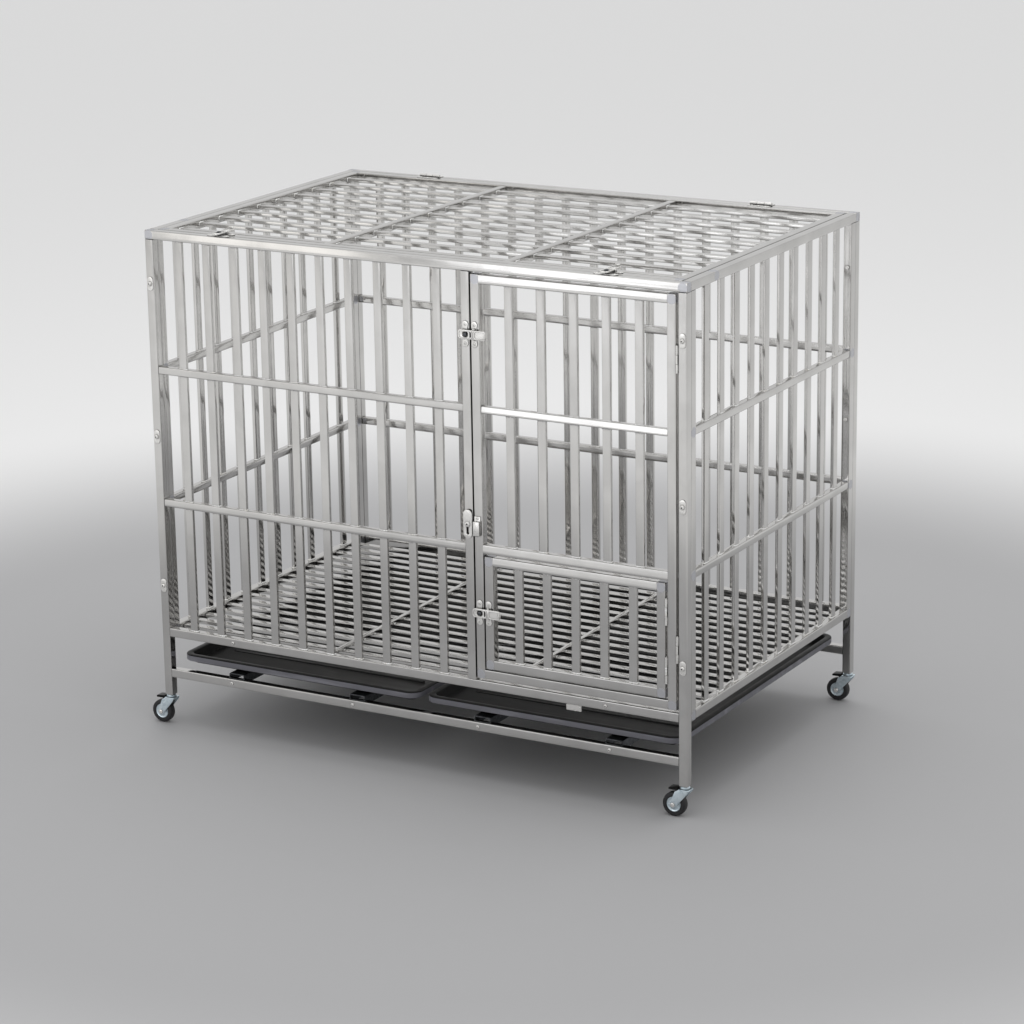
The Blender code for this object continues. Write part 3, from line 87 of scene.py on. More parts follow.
class Graph:
    """The node tree of a material or world, with short ways to add and join nodes."""

    def __init__(self, owner: bpy.types.Material | bpy.types.World) -> None:
        """Opens a node tree.

        Args:
            owner: the material or world that has the tree.
        """
        self.owner = owner
        owner.use_nodes = True
        self.tree = owner.node_tree
        self.shader = self.tree.nodes.get("Principled BSDF")

    @classmethod
    def material(cls, name: str) -> "Graph":
        """Makes a new material of that name."""
        return cls(bpy.data.materials.new(name))

    def node(
        self, kind: str, inputs: dict[str | int, object] | None = None, **settings: object,
    ) -> bpy.types.Node:
        """Adds a node.

        Args:
            kind: the node's type without its "ShaderNode" prefix.
            inputs: sockets by name or number, each with a value or an output to join.
            settings: properties of the node.

        Returns:
            The new node.
        """
        made = self.tree.nodes.new(f"ShaderNode{kind}")
        for key, value in settings.items():
            setattr(made, key, value)
        for key, value in (inputs or {}).items():
            if isinstance(value, Socket):
                self.tree.links.new(value, made.inputs[key])
            else:
                made.inputs[key].default_value = value
        return made

    def maths(self, operation: str, *values: object) -> Socket:
        """Adds a Math node and returns its output."""
        return self.node("Math", dict(enumerate(values)), operation=operation).outputs[0]

    def noise(self, vector: object, scale: float, detail: float = 3.0, distortion: float = 0.0) -> Socket:
        """Adds a noise texture and returns its factor."""
        inputs = {"Vector": vector, "Scale": scale, "Detail": detail, "Distortion": distortion}
        return self.node("TexNoise", inputs).outputs[0]

    def stretched(self, vector: object, scale: Triple) -> Socket:
        """Scales a coordinate by its axes."""
        return self.node("Mapping", {"Vector": vector, "Scale": scale}).outputs[0]

    def ranged(self, value: object, low: float, high: float, new_low: float, new_high: float) -> Socket:
        """Maps a value from one range to another, held within the new one."""
        inputs = {0: value, 1: low, 2: high, 3: new_low, 4: new_high}
        return self.node("MapRange", inputs).outputs[0]

    def mixed(self, factor: object, first: object, second: object) -> Socket:
        """Mixes two colours.

        Args:
            factor: share of the second, as a value or an output.
            first: a colour or an output.
            second: a colour or an output.

        Returns:
            The output of the mix.
        """
        made = self.node("Mix", data_type="RGBA")
        for index, value in ((0, factor), (6, first), (7, second)):
            if isinstance(value, Socket):
                self.tree.links.new(value, made.inputs[index])
            else:
                made.inputs[index].default_value = value if index == 0 else (*value, 1.0)
        return made.outputs[2]

    def product(self, first: object, second: object) -> Socket:
        """Multiplies two colours and returns the result."""
        return self.node("VectorMath", {0: first, 1: second}, operation="MULTIPLY").outputs[0]

    def bump(self, height: object, strength: float, distance: float, normal: object | None = None) -> Socket:
        """Adds a Bump node.

        Args:
            height: output that raises the surface.
            strength: share of the bump that shows.
            distance: its height in metres.
            normal: output of another bump to build on, if any.

        Returns:
            The bumped normal.
        """
        inputs = {"Height": height, "Strength": strength, "Distance": distance}
        if normal is not None:
            inputs["Normal"] = normal
        return self.node("Bump", inputs).outputs[0]

    def crevice_shaded(self, colour: object, reach: float, darkest: float) -> Socket:
        """Paints shade into a colour: darkens it by ambient occlusion in crevices, where shade falls.

        Args:
            colour: output of the colour before the painted shade.
            reach: width in metres of the widest crevice that darkens.
            darkest: share of the colour left in the deepest.

        Returns:
            The output of the colour with its painted shade.
        """
        open_share = self.node("AmbientOcclusion", {"Distance": reach}, samples=6).outputs["AO"]
        tone = self.ranged(open_share, 0.3, 0.9, darkest, 1.0)
        return self.product(colour, tone)

    def place(self) -> Socket:
        """The object coordinates, which are the frame's metres on every piece."""
        return self.node("TexCoord").outputs["Object"]

    def attribute(self, name: str) -> Socket:
        """The vector of a mesh attribute."""
        return self.node("Attribute", attribute_name=name).outputs["Vector"]

    def wire(self, **links: object) -> None:
        """Joins or sets sockets of the Principled shader.

        Args:
            links: sockets by name, with _ for a space, each with a value, colour or output.
        """
        for key, value in links.items():
            socket = self.shader.inputs[key.replace("_", " ")]
            if isinstance(value, Socket):
                self.tree.links.new(value, socket)
            elif isinstance(value, tuple):
                socket.default_value = (*value, 1.0)
            else:
                socket.default_value = value


@dataclass(frozen=True)
class PolishedSteel:
    """Drawn and buffed stainless tube, with ground patches over its welds."""

    light: Colour = (0.62, 0.612, 0.598)
    dull: Colour = (0.53, 0.523, 0.51)
    ground: Colour = (0.52, 0.525, 0.55)
    gloss: Pair = (0.05, 0.11)
    smudge_rough: float = 0.07
    ground_rough: float = 0.36
    patch_size: float = 10.8 * MM

    def patch_mask(self, graph: Graph) -> Socket:
        """Masks an eight-sided patch round each weld that the mesh marks in its joint attribute.

        Args:
            graph: the material's graph.

        Returns:
            The output of the mask, 1 on a patch.
        """
        parts = graph.node("SeparateXYZ", {0: graph.attribute("joint")})
        along = graph.maths("ABSOLUTE", parts.outputs[0])
        across = graph.maths("ABSOLUTE", parts.outputs[1])
        square = graph.maths("MAXIMUM", along, across)
        corner = graph.maths("MULTIPLY", graph.maths("ADD", along, across), 0.72)
        reach = graph.maths("MAXIMUM", square, corner)
        rough_edge = graph.noise(graph.place(), 420.0, 2.0)
        ragged = graph.maths("ADD", reach, graph.maths("MULTIPLY", rough_edge, 0.0022))
        edge = graph.ranged(ragged, self.patch_size - 0.0004, self.patch_size + 0.0012, 1.0, 0.0)
        return graph.maths("MULTIPLY", edge, parts.outputs[2])

    def build(self) -> bpy.types.Material:
        """Makes the material.

        Returns:
            The new material.
        """
        graph = Graph.material("polished_steel")
        grain = graph.attribute("grain")
        lines = graph.noise(graph.stretched(grain, (5.0, 1400.0, 40.0)), 1.0, 4.0)
        smudge = graph.noise(graph.place(), 11.0, 4.0, 0.8)
        mask = self.patch_mask(graph)
        scratch = graph.noise(graph.stretched(grain, (260.0, 2600.0, 40.0)), 1.0, 3.0)
        polish = graph.ranged(lines, 0.35, 0.7, *self.gloss)
        smudged = graph.maths("ADD", polish, graph.ranged(smudge, 0.45, 0.75, 0.0, self.smudge_rough))
        ground = graph.ranged(scratch, 0.3, 0.7, self.ground_rough - 0.07, self.ground_rough + 0.07)
        rough = graph.node("Mix", {0: mask, 2: smudged, 3: ground}, data_type="FLOAT").outputs[0]
        steel = graph.mixed(graph.ranged(smudge, 0.35, 0.8, 0.0, 1.0), self.light, self.dull)
        unshaded_colour = graph.mixed(mask, steel, self.ground)
        # Painted shade: ambient occlusion darkens the steel's colour in crevices where shade falls.
        graph.wire(Base_Color=graph.crevice_shaded(unshaded_colour, 5.0 * MM, 0.35), Roughness=rough, Metallic=1.0)
        waves = graph.noise(graph.stretched(grain, (3.0, 150.0, 40.0)), 1.0, 1.0)
        wavy = graph.bump(waves, 0.12, 0.0012)
        drawn = graph.bump(lines, 0.02, 0.0001, wavy)
        cut = graph.maths("MULTIPLY", scratch, mask)
        graph.wire(Normal=graph.bump(cut, 0.35, 0.0003, drawn))
        return graph.owner


@dataclass(frozen=True)
class WeldBead:
    """Small bright welds where a bar meets a rail."""

    bright: Colour = (0.95, 0.95, 0.94)
    straw: Colour = (0.8, 0.77, 0.7)
    rough: Pair = (0.15, 0.35)
    metallic: float = 0.6

    def build(self) -> bpy.types.Material:
        """Makes the material.

        Returns:
            The new material.
        """
        graph = Graph.material("weld_bead")
        lumps = graph.noise(graph.place(), 520.0, 3.0)
        heat = graph.noise(graph.place(), 90.0, 2.0)
        unshaded_colour = graph.mixed(graph.ranged(heat, 0.5, 0.75, 0.0, 1.0), self.bright, self.straw)
        # Painted shade: ambient occlusion darkens the bead's colour in crevices.
        graph.wire(
            Base_Color=graph.crevice_shaded(unshaded_colour, 2.5 * MM, 0.5),
            Roughness=graph.ranged(lumps, 0.3, 0.7, *self.rough),
            Metallic=self.metallic,
            Normal=graph.bump(lumps, 0.5, 0.0006),
        )
        return graph.owner


@dataclass(frozen=True)
class LatchSteel:
    """Pressed and plated latch parts, satin, with painted shade that darkens their crevices and holes to near
    black.
    """

    plated: Colour = (0.88, 0.87, 0.845)
    dull: Colour = (0.72, 0.71, 0.69)
    rough: Pair = (0.14, 0.32)
    metallic: float = 0.65

    def build(self) -> bpy.types.Material:
        """Makes the material.

        Returns:
            The new material.
        """
        graph = Graph.material("latch_steel")
        place = graph.place()
        cloud = graph.noise(place, 60.0, 4.0, 0.5)
        pits = graph.noise(place, 1500.0, 2.0)
        unshaded_colour = graph.mixed(graph.ranged(cloud, 0.35, 0.7, 0.0, 1.0), self.plated, self.dull)
        # Painted shade: ambient occlusion darkens the colour to near black in crevices and holes.
        graph.wire(
            Base_Color=graph.crevice_shaded(unshaded_colour, 6.0 * MM, 0.04),
            Roughness=graph.ranged(cloud, 0.3, 0.7, *self.rough),
            Metallic=self.metallic,
            Normal=graph.bump(pits, 0.15, 0.0002),
        )
        return graph.owner


@dataclass(frozen=True)
class ZincPlate:
    """Bluish zinc plating of the casters, and a near-black copy, painted shade, for the runners and latch
    bosses.
    """

    name: str = "zinc"
    pale: Colour = (0.78, 0.87, 0.92)
    grey: Colour = (0.6, 0.7, 0.76)
    rough: Pair = (0.3, 0.5)

    def build(self) -> bpy.types.Material:
        """Makes the material.

        Returns:
            The new material.
        """
        graph = Graph.material(self.name)
        place = graph.place()
        flakes = graph.node("TexVoronoi", {"Vector": place, "Scale": 210.0}).outputs["Color"]
        flake = graph.node("SeparateColor", {0: flakes}).outputs[0]
        cloud = graph.noise(place, 45.0, 4.0)
        tone = graph.maths("MULTIPLY", graph.maths("ADD", flake, cloud), 0.5)
        unshaded_colour = graph.mixed(graph.ranged(tone, 0.25, 0.75, 0.0, 1.0), self.pale, self.grey)
        # Painted shade: ambient occlusion darkens the zinc's colour in crevices.
        graph.wire(
            Base_Color=graph.crevice_shaded(unshaded_colour, 4.0 * MM, 0.15),
            Roughness=graph.ranged(cloud, 0.3, 0.7, *self.rough),
            Metallic=1.0,
            Normal=graph.bump(graph.noise(place, 700.0, 2.0), 0.12, 0.0002),
        )
        return graph.owner


@dataclass(frozen=True)
class TyreRubber:
    """Black rubber of the wheels, dusty where it rolls."""

    black: Colour = (0.011, 0.011, 0.013)
    dust: Colour = (0.03, 0.03, 0.03)

    def build(self) -> bpy.types.Material:
        """Makes the material.

        Returns:
            The new material.
        """
        graph = Graph.material("rubber")
        place = graph.place()
        cloud = graph.noise(place, 70.0, 5.0, 0.6)
        grit = graph.noise(place, 1800.0, 2.0)
        graph.wire(
            Base_Color=graph.mixed(graph.ranged(cloud, 0.45, 0.8, 0.0, 0.8), self.black, self.dust),
            Roughness=graph.ranged(cloud, 0.3, 0.7, 0.42, 0.68),
            Normal=graph.bump(grit, 0.25, 0.0002),
        )
        return graph.owner


@dataclass(frozen=True)
class MouldedPlastic:
    """Black moulded plastic of the trays and brake pedals."""

    name: str = "black_plastic"
    black: Colour = (0.007, 0.007, 0.007)
    wear_and_sheen: Colour = (0.014, 0.014, 0.015)

    def build(self) -> bpy.types.Material:
        """Makes the material.

        Returns:
            The new material.
        """
        graph = Graph.material(self.name)
        place = graph.place()
        scuffs = graph.noise(graph.stretched(place, (8.0, 40.0, 40.0)), 1.0, 5.0, 0.6)
        skin = graph.noise(place, 950.0, 2.0)
        dip = graph.noise(place, 7.0, 1.0)
        graph.wire(
            Base_Color=graph.mixed(graph.ranged(scuffs, 0.5, 0.8, 0.0, 1.0), self.black, self.wear_and_sheen),
            Roughness=graph.ranged(scuffs, 0.3, 0.75, 0.28, 0.4),
            Normal=graph.bump(skin, 0.1, 0.0002, graph.bump(dip, 0.05, 0.003)),
            Specular_IOR_Level=0.12,
        )
        return graph.owner


# Painted reflection: a lighter bluish grey copy of the plastic for the trays' lip faces.
SHEEN_LIP = MouldedPlastic("sheen_grey_plastic", (0.15, 0.15, 0.168), (0.26, 0.26, 0.285))
# Painted shade: a near-black copy of the zinc for the runners and latch bosses, which stand in shade.
SHADE_DARK_ZINC = ZincPlate("shade_dark_zinc", (0.13, 0.135, 0.145), (0.07, 0.075, 0.08), (0.35, 0.5))


@dataclass
class Finishes:
    """The built materials."""

    steel: bpy.types.Material = field(default_factory=lambda: PolishedSteel().build())
    bead: bpy.types.Material = field(default_factory=lambda: WeldBead().build())
    latch: bpy.types.Material = field(default_factory=lambda: LatchSteel().build())
    zinc: bpy.types.Material = field(default_factory=lambda: ZincPlate().build())
    shade_dark_zinc: bpy.types.Material = field(default_factory=lambda: SHADE_DARK_ZINC.build())
    rubber: bpy.types.Material = field(default_factory=lambda: TyreRubber().build())
    plastic: bpy.types.Material = field(default_factory=lambda: MouldedPlastic().build())
    lip: bpy.types.Material = field(default_factory=lambda: SHEEN_LIP.build())


# The cage's sizes

@dataclass(frozen=True)
class Section:
    """A tube's or bar's cross section in millimetres."""

    width: float
    height: float
    rounding: float
    crown: float
    lean: float = 0.0
    corner_steps: int = 4
    face_steps: int = 4

    def outline(self) -> list[Pair]:
        """Works out the section's edge, with crowned faces and round corners, turned by the lean.

        Returns:
            Anticlockwise points of u and v.
        """
        points: list[Pair] = []
        sides = (
            (1, 0, self.width, self.height), (0, 1, self.height, self.width),
            (-1, 0, self.width, self.height), (0, -1, self.height, self.width),
        )
        for out_u, out_v, depth, run in sides:
            straight = run / 2 - self.rounding
            level = depth / 2 - self.crown
            for step in range(self.face_steps + 1):
                share = -1 + 2 * step / self.face_steps
                rise = level + self.crown * (1 - share * share)
                along = share * straight
                points.append((out_u * rise - out_v * along, out_v * rise + out_u * along))
            core = level - self.rounding
            middle = (out_u * core - out_v * straight, out_v * core + out_u * straight)
            first = math.degrees(math.atan2(out_v, out_u))
            points += arc(middle, self.rounding, first, first + 90, self.corner_steps)[1:-1]
        cosine, sine = math.cos(math.radians(self.lean)), math.sin(math.radians(self.lean))
        return [(u * cosine + v * sine, v * cosine - u * sine) for u, v in points]


TUBE = Section(19.0, 19.0, 1.5, 0.05)
CROSS_TUBE = Section(18.7, 18.7, 1.7, 0.07, 1.3)
DOOR_TUBE = Section(18.3, 18.3, 1.7, 0.06, 3.2)
RAIL = Section(15.8, 15.8, 1.9, 0.12, 0.8)
DOOR_RAIL = Section(15.0, 15.0, 1.8, 0.04, 5.0)
BAR_FRONT = Section(18.0, 8.0, 1.3, 0.06)
BAR_SIDE = Section(8.0, 18.0, 1.3, 0.06)
SLAT = Section(16.0, 8.0, 1.2, 0.08)
FLOOR_CROSS = Section(10.0, 7.5, 1.2, 0.1)


@dataclass(frozen=True)
class Cage:
    """Sizes that several pieces share, in millimetres, and the cage's place in the frame."""

    width: float = 1250.0
    depth: float = 805.0
    height: float = 1010.0
    tube: float = 19.0
    seat: float = 0.3
    bottom_rail: float = 141.0
    tray_rail: float = 50.0
    mid_rails: Pair = (427.5, 714.0)
    centre_post: float = 754.0
    door_left: float = 776.0
    door_right: float = 1226.0
    door_bottom: float = 155.5
    door_top: float = 986.5
    small_left: float = 797.5
    small_right: float = 1202.0
    small_bottom: float = 177.5
    small_top: float = 413.0
    bolt_heights: Triple = (245.0, 571.0, 898.0)
    runner_centres: tuple[float, ...] = (174.0, 475.0, 775.0, 1077.0)
    runner_top: float = 65.7

    @property
    def origin(self) -> Vector:
        """The frame's place of the cage's zero point, from the front top rail's corner."""
        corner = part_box("front_top_rail")[0]
        return corner - Vector((0, 0, self.height - self.tube)) * MM

    @property
    def top_under(self) -> float:
        """Underside of the top rails."""
        return self.height - self.tube

    @property
    def bottom_top(self) -> float:
        """Upper side of the bottom rails."""
        return self.bottom_rail + self.tube / 2

    @property
    def half(self) -> float:
        """Half of a tube's side."""
        return self.tube / 2

    @property
    def top_middle(self) -> float:
        """Height of the top rails' middles."""
        return self.height - self.half

    @property
    def clear_x(self) -> Pair:
        """Where pieces between the corner posts start and end along x."""
        return self.tube + self.seat, self.width - self.tube - self.seat

    @property
    def clear_y(self) -> Pair:
        """Where pieces between the corner posts start and end along y."""
        return self.tube + self.seat, self.depth - self.tube - self.seat

    def matrix(self) -> Matrix:
        """The matrix from the cage's millimetres to the frame's metres."""
        return Matrix.Translation(self.origin) @ Matrix.Scale(MM, 4)


CAGE = Cage()
MID_LOW, MID_HIGH = CAGE.mid_rails
MAIN_GAP, SMALL_GAP, LID_GAP = 3.0, 2.5, 2.0
TRAY_SIDE_GAP = 11.0
TRAY_PARTING = 18.0


def even_places(start: float, end: float, count: int, width: float) -> list[float]:
    """Centres of pieces of one width with equal gaps between and beside them."""
    gap = (end - start - count * width) / (count + 1)
    return [start + gap * (index + 1) + width * (index + 0.5) for index in range(count)]


def shared_places(start: float, end: float, count: int) -> list[float]:
    """Points that share a length into equal fields."""
    return [start + (end - start) * (index + 1) / (count + 1) for index in range(count)]


def rounded_rectangle(centre: Pair, size: Pair, radius: float, steps: int) -> list[Pair]:
    """Draws a rectangle with round corners.

    Args:
        centre: its middle.
        size: its two sides.
        radius: its corners' radius.
        steps: count of steps round each corner.

    Returns:
        Its points, anticlockwise.
    """
    x, y = size[0] / 2 - radius, size[1] / 2 - radius
    points: list[Pair] = []
    for corner_x, corner_y, first in ((x, y, 0), (-x, y, 90), (-x, -y, 180), (x, -y, 270)):
        points += arc((centre[0] + corner_x, centre[1] + corner_y), radius, first, first + 90, steps)
    return points


def arc(centre: Pair, radius: float, first: float, last: float, steps: int) -> list[Pair]:
    """Draws an arc.

    Args:
        centre: its middle.
        radius: its radius.
        first: angle in degrees of its first point.
        last: angle in degrees of its last point.
        steps: count of steps between them.

    Returns:
        Its points, both ends included.
    """
    points: list[Pair] = []
    for step in range(steps + 1):
        angle = math.radians(first + (last - first) * step / steps)
        points.append((centre[0] + radius * math.cos(angle), centre[1] + radius * math.sin(angle)))
    return points


# Shapes

TUBE_WALL = 1.3
GRAIN_STEP = 37.0
BEAD_BITE = 0.4
SOCKET_SHARE = 0.36


class Shape:
    """A mesh that is built up from tubes, plates and turned pieces, in cage millimetres."""

    def __init__(self, materials: Sequence[bpy.types.Material]) -> None:
        """Starts an empty mesh.

        Args:
            materials: the materials that its faces use by number.
        """
        self.bm = bmesh.new()
        self.grain = self.bm.loops.layers.float_vector.new("grain")
        self.joint = self.bm.loops.layers.float_vector.new("joint")
        self.materials = list(materials)
        self.tubes = 0

    def grain_offset(self) -> float:
        """How far the newest tube's grain lies from the first tube's, so that no two look alike."""
        return self.tubes * GRAIN_STEP

    def tube(
        self, start: Triple, end: Triple, section: Section, patches: Iterable[float] = (),
        chamfer: float = 0.5, hollow: float = 0.0,
    ) -> None:
        """Adds a tube or bar along one axis.

        Args:
            start: middle of the first end.
            end: middle of the last end.
            section: its cross section; u is the first and v the second of the other axes.
            patches: places along the axis, from the start, of welds that are ground flush.
            chamfer: how far the ends' edges are broken.
            hollow: how deep the first end is open.
        """
        first, last = Vector(start), Vector(end)
        run = last - first
        axis = max(range(3), key=lambda index: abs(run[index]))
        length = run.length
        along = run / length
        others = [index for index in range(3) if index != axis]
        outline = section.outline()
        welds = sorted(patches)
        stations = [0.0, chamfer]
        stations += [(a + b) / 2 for a, b in zip(welds, welds[1:])]
        stations += [length - chamfer, length]
        rings = []
        for place in stations:
            inset = chamfer if place in (0.0, length) else 0.0
            scale = (1 - 2 * inset / section.width, 1 - 2 * inset / section.height)
            rings.append(self.ring(first + along * place, others, outline, scale))
        self.tubes += 1
        lengths = [0.0]
        for index, point in enumerate(outline):
            after = outline[(index + 1) % len(outline)]
            lengths.append(lengths[-1] + math.dist(point, after))
        for number in range(len(stations) - 1):
            middle = (stations[number] + stations[number + 1]) / 2
            weld = min(welds, key=lambda place: abs(place - middle)) if welds else None
            spans = (stations[number], stations[number + 1])
            for index, point in enumerate(outline):
                after = (index + 1) % len(outline)
                lower, upper = rings[number], rings[number + 1]
                face = self.bm.faces.new((lower[index], lower[after], upper[after], upper[index]))
                flat_u = abs(point[0] - outline[after][0]) > abs(point[1] - outline[after][1])
                rounds = (lengths[index], lengths[index + 1], lengths[index + 1], lengths[index])
                places = (spans[0], spans[0], spans[1], spans[1])
                for loop, place, around in zip(face.loops, places, rounds):
                    loop[self.grain] = Vector((place, around, self.grain_offset())) * MM
                    if weld is not None:
                        offset = loop.vert.co - first
                        across = offset[others[0]] if flat_u else offset[others[1]]
                        loop[self.joint] = ((place - weld) * MM, across * MM, 1.0)
        if hollow:
            scale = (1 - 2 * TUBE_WALL / section.width, 1 - 2 * TUBE_WALL / section.height)
            mouth = self.ring(first, others, outline, scale)
            floor = self.ring(first + along * hollow, others, outline, scale)
            self.band(mouth, rings[0])
            self.band(floor, mouth)
            rings[0] = floor
        for ring, place in ((rings[0], 0.0), (rings[-1], length)):
            cap = self.bm.faces.new(ring)
            weld = min(welds, key=lambda value: abs(value - place)) if welds else None
            for loop in cap.loops:
                offset = loop.vert.co - first
                loop[self.grain] = Vector((offset[others[0]], offset[others[1]], self.grain_offset())) * MM
                if weld is not None:
                    strength = 1.0 if abs(weld - place) < section.width else 0.0
                    loop[self.joint] = (offset[others[0]] * MM, offset[others[1]] * MM, strength)

    def ring(self, centre: Vector, others: Sequence[int], outline: Sequence[Pair], scale: Pair) -> Ring:
        """Adds one ring of points of a section.

        Args:
            centre: the ring's middle.
            others: numbers of the two axes that the section lies in.
            outline: the section's points.
            scale: share of the section's two sides.

        Returns:
            The ring's vertices.
        """
        verts = []
        for u, v in outline:
            place = centre.copy()
            place[others[0]] += u * scale[0]
            place[others[1]] += v * scale[1]
            verts.append(self.bm.verts.new(place))
        return verts

    def circle(self, place: Matrix, radius: float, height: float, segments: int) -> Ring:
        """Adds a round of points about the z of a place.

        Args:
            place: matrix of the round's axis.
            radius: the round's radius.
            height: its height along the axis.
            segments: count of points.

        Returns:
            The ring's vertices.
        """
        ring = []
        for index in range(segments):
            angle = 2 * math.pi * index / segments
            local = Vector((radius * math.cos(angle), radius * math.sin(angle), height))
            ring.append(self.bm.verts.new(place @ local))
        return ring

    def band(self, lower: Ring, upper: Ring, material: int = 0) -> None:
        """Joins two rings of equal count with faces.

        Args:
            lower: vertices of one ring.
            upper: vertices of the other.
            material: number of the faces' material.
        """
        for index, vert in enumerate(lower):
            after = (index + 1) % len(lower)
            face = self.bm.faces.new((vert, lower[after], upper[after], upper[index]))
            face.material_index = material

    def bead(
        self, centre: Triple, axis: int, size: Pair, side: float, radius: float, seed: int, material: int = 1,
    ) -> None:
        """Adds a weld bead round a bar where it meets a rail's face.

        Args:
            centre: the bar's middle on the rail's face.
            axis: number of the axis that the bar runs along.
            size: the bar's two sides.
            side: 1 or -1, the way that the bead rises from the face.
            radius: the bead's size.
            seed: number that varies the bead's lumps.
            material: number of the bead's material.
        """
        others = [index for index in range(3) if index != axis]
        steps = 3
        path = rounded_rectangle((0.0, 0.0), size, min(2.4, min(size) / 2 - 0.1), 2)
        count = len(path)
        chance = random.Random(seed)
        lumps = [1.0 + 0.35 * (chance.random() - 0.5) for _ in range(count)]
        rings = []
        for step in range(steps + 1):
            angle = math.pi / 2 * step / steps
            ring = []
            for index, (u, v) in enumerate(path):
                size_here = radius * lumps[index]
                out = size_here * math.cos(angle)
                rise = size_here * math.sin(angle)
                norm = math.hypot(u / size[0], v / size[1])
                push = Vector((u / size[0] / norm, v / size[1] / norm))
                place = Vector(centre)
                place[others[0]] += u + push.x * out - push.x * BEAD_BITE
                place[others[1]] += v + push.y * out - push.y * BEAD_BITE
                place[axis] += side * rise
                ring.append(self.bm.verts.new(place))
            rings.append(ring)
        for lower, upper in zip(rings, rings[1:]):
            self.band(lower, upper, material)
        for ring in (rings[0], rings[-1]):
            self.bm.faces.new(ring).material_index = material

    def lathe(
        self, profile: Sequence[Pair], place: Matrix, segments: int = 32, material: int = 0,
        closed: bool = False,
    ) -> None:
        """Turns a half section of radius and height round the z of a place.

        Args:
            profile: points of radius and height, from one end to the other.
            place: matrix of the turned piece in cage millimetres.
            segments: count of sides.
            material: number of the material.
            closed: True where the profile is a loop, such as a wheel with a bore.
        """
        rings = [self.circle(place, radius, height, segments) for radius, height in profile]
        for lower, upper in zip(rings, rings[1:]):
            self.band(lower, upper, material)
        if closed:
            self.band(rings[-1], rings[0], material)
        else:
            for ring in (rings[0], rings[-1]):
                self.bm.faces.new(ring).material_index = material

    def socket_head(
        self, place: Matrix, radius: float, height: float, recess: float, material: int = 0,
    ) -> None:
        """Adds a low round bolt head with a six-sided socket in its top.

        Args:
            place: matrix of the head's seat, with z out of it.
            radius: the head's radius.
            height: the head's height.
            recess: the socket's depth as a share of the height.
            material: number of the material.
        """
        segments = 24
        corners = 6
        dome = ((1.0, -0.4), (1.0, 0.18), (0.94, 0.5), (0.8, 0.8), (0.62, 0.96), (0.5, 1.0))
        rings = [self.circle(place, radius * share, height * rise, segments) for share, rise in dome]
        for lower, upper in zip(rings, rings[1:]):
            self.band(lower, upper, material)
        self.bm.faces.new(rings[0]).material_index = material
        depths = (1.0, 1.0 - recess)
        hexes = [self.circle(place, radius * SOCKET_SHARE, height * depth, corners) for depth in depths]
        top = rings[-1]
        sides = segments // corners
        for index in range(segments):
            here = hexes[0][index // sides]
            after = hexes[0][(index + 1) // sides % corners]
            verts = [top[index], top[(index + 1) % segments], after]
            if after is not here:
                verts.append(here)
            self.bm.faces.new(verts).material_index = material
        self.band(hexes[0], hexes[1], material)
        self.bm.faces.new(hexes[1]).material_index = material

    def plate(
        self, outlines: Sequence[Sequence[Pair]], thickness: float, place: Matrix, edge: float = 0.3,
        material: int = 0,
    ) -> None:
        """Adds a flat plate with rounded edges; the first outline is its edge, the others are holes.

        Args:
            outlines: rings of points in the plate's own plane, each in millimetres.
            thickness: the plate's thickness.
            place: matrix of the plate's middle in cage millimetres.
            edge: rounding of its edges.
            material: number of the material.
        """
        curve = bpy.data.curves.new("plate", "CURVE")
        curve.dimensions = "2D"
        curve.fill_mode = "BOTH"
        curve.extrude = thickness / 2 - edge
        curve.bevel_depth = edge
        curve.bevel_resolution = 2
        curve.offset = -edge
        for outline in outlines:
            spline = curve.splines.new("POLY")
            spline.points.add(len(outline) - 1)
            spline.use_cyclic_u = True
            for point, spot in zip(spline.points, outline):
                point.co = (*spot, 0, 1)
        obj = bpy.data.objects.new("plate", curve)
        bpy.context.scene.collection.objects.link(obj)
        bpy.context.view_layer.update()
        graph = bpy.context.evaluated_depsgraph_get()
        mesh = bpy.data.meshes.new_from_object(obj.evaluated_get(graph))
        mesh.transform(place)
        before = len(self.bm.faces)
        self.bm.from_mesh(mesh)
        self.bm.faces.ensure_lookup_table()
        added = self.bm.faces[before:]
        for face in added:
            face.material_index = material
        verts = list({vert for face in added for vert in face.verts})
        bmesh.ops.remove_doubles(self.bm, verts=verts, dist=0.002)
        bpy.data.objects.remove(obj, do_unlink=True)
        bpy.data.curves.remove(curve)
        bpy.data.meshes.remove(mesh)

    def block(
        self, low: Triple, high: Triple, rounding: float, place: Matrix | None = None, material: int = 0,
    ) -> None:
        """Adds a box with rounded edges.

        Args:
            low: its lowest corner.
            high: its highest corner.
            rounding: rounding of its edges.
            place: matrix that it is moved by, if any.
            material: number of the material.
        """
        low_corner, high_corner = Vector(low), Vector(high)
        size = high_corner - low_corner
        matrix = Matrix.Translation((low_corner + high_corner) / 2) @ Matrix.Diagonal((*size, 1))
        part = bmesh.new()
        bmesh.ops.create_cube(part, size=1, matrix=matrix)
        bmesh.ops.bevel(part, geom=part.edges[:], offset=rounding, segments=2, profile=0.5, affect="EDGES")
        if place is not None:
            bmesh.ops.transform(part, verts=part.verts, matrix=place)
        for face in part.faces:
            face.material_index = material
        mesh = bpy.data.meshes.new("block")
        part.to_mesh(mesh)
        part.free()
        self.bm.from_mesh(mesh)
        bpy.data.meshes.remove(mesh)

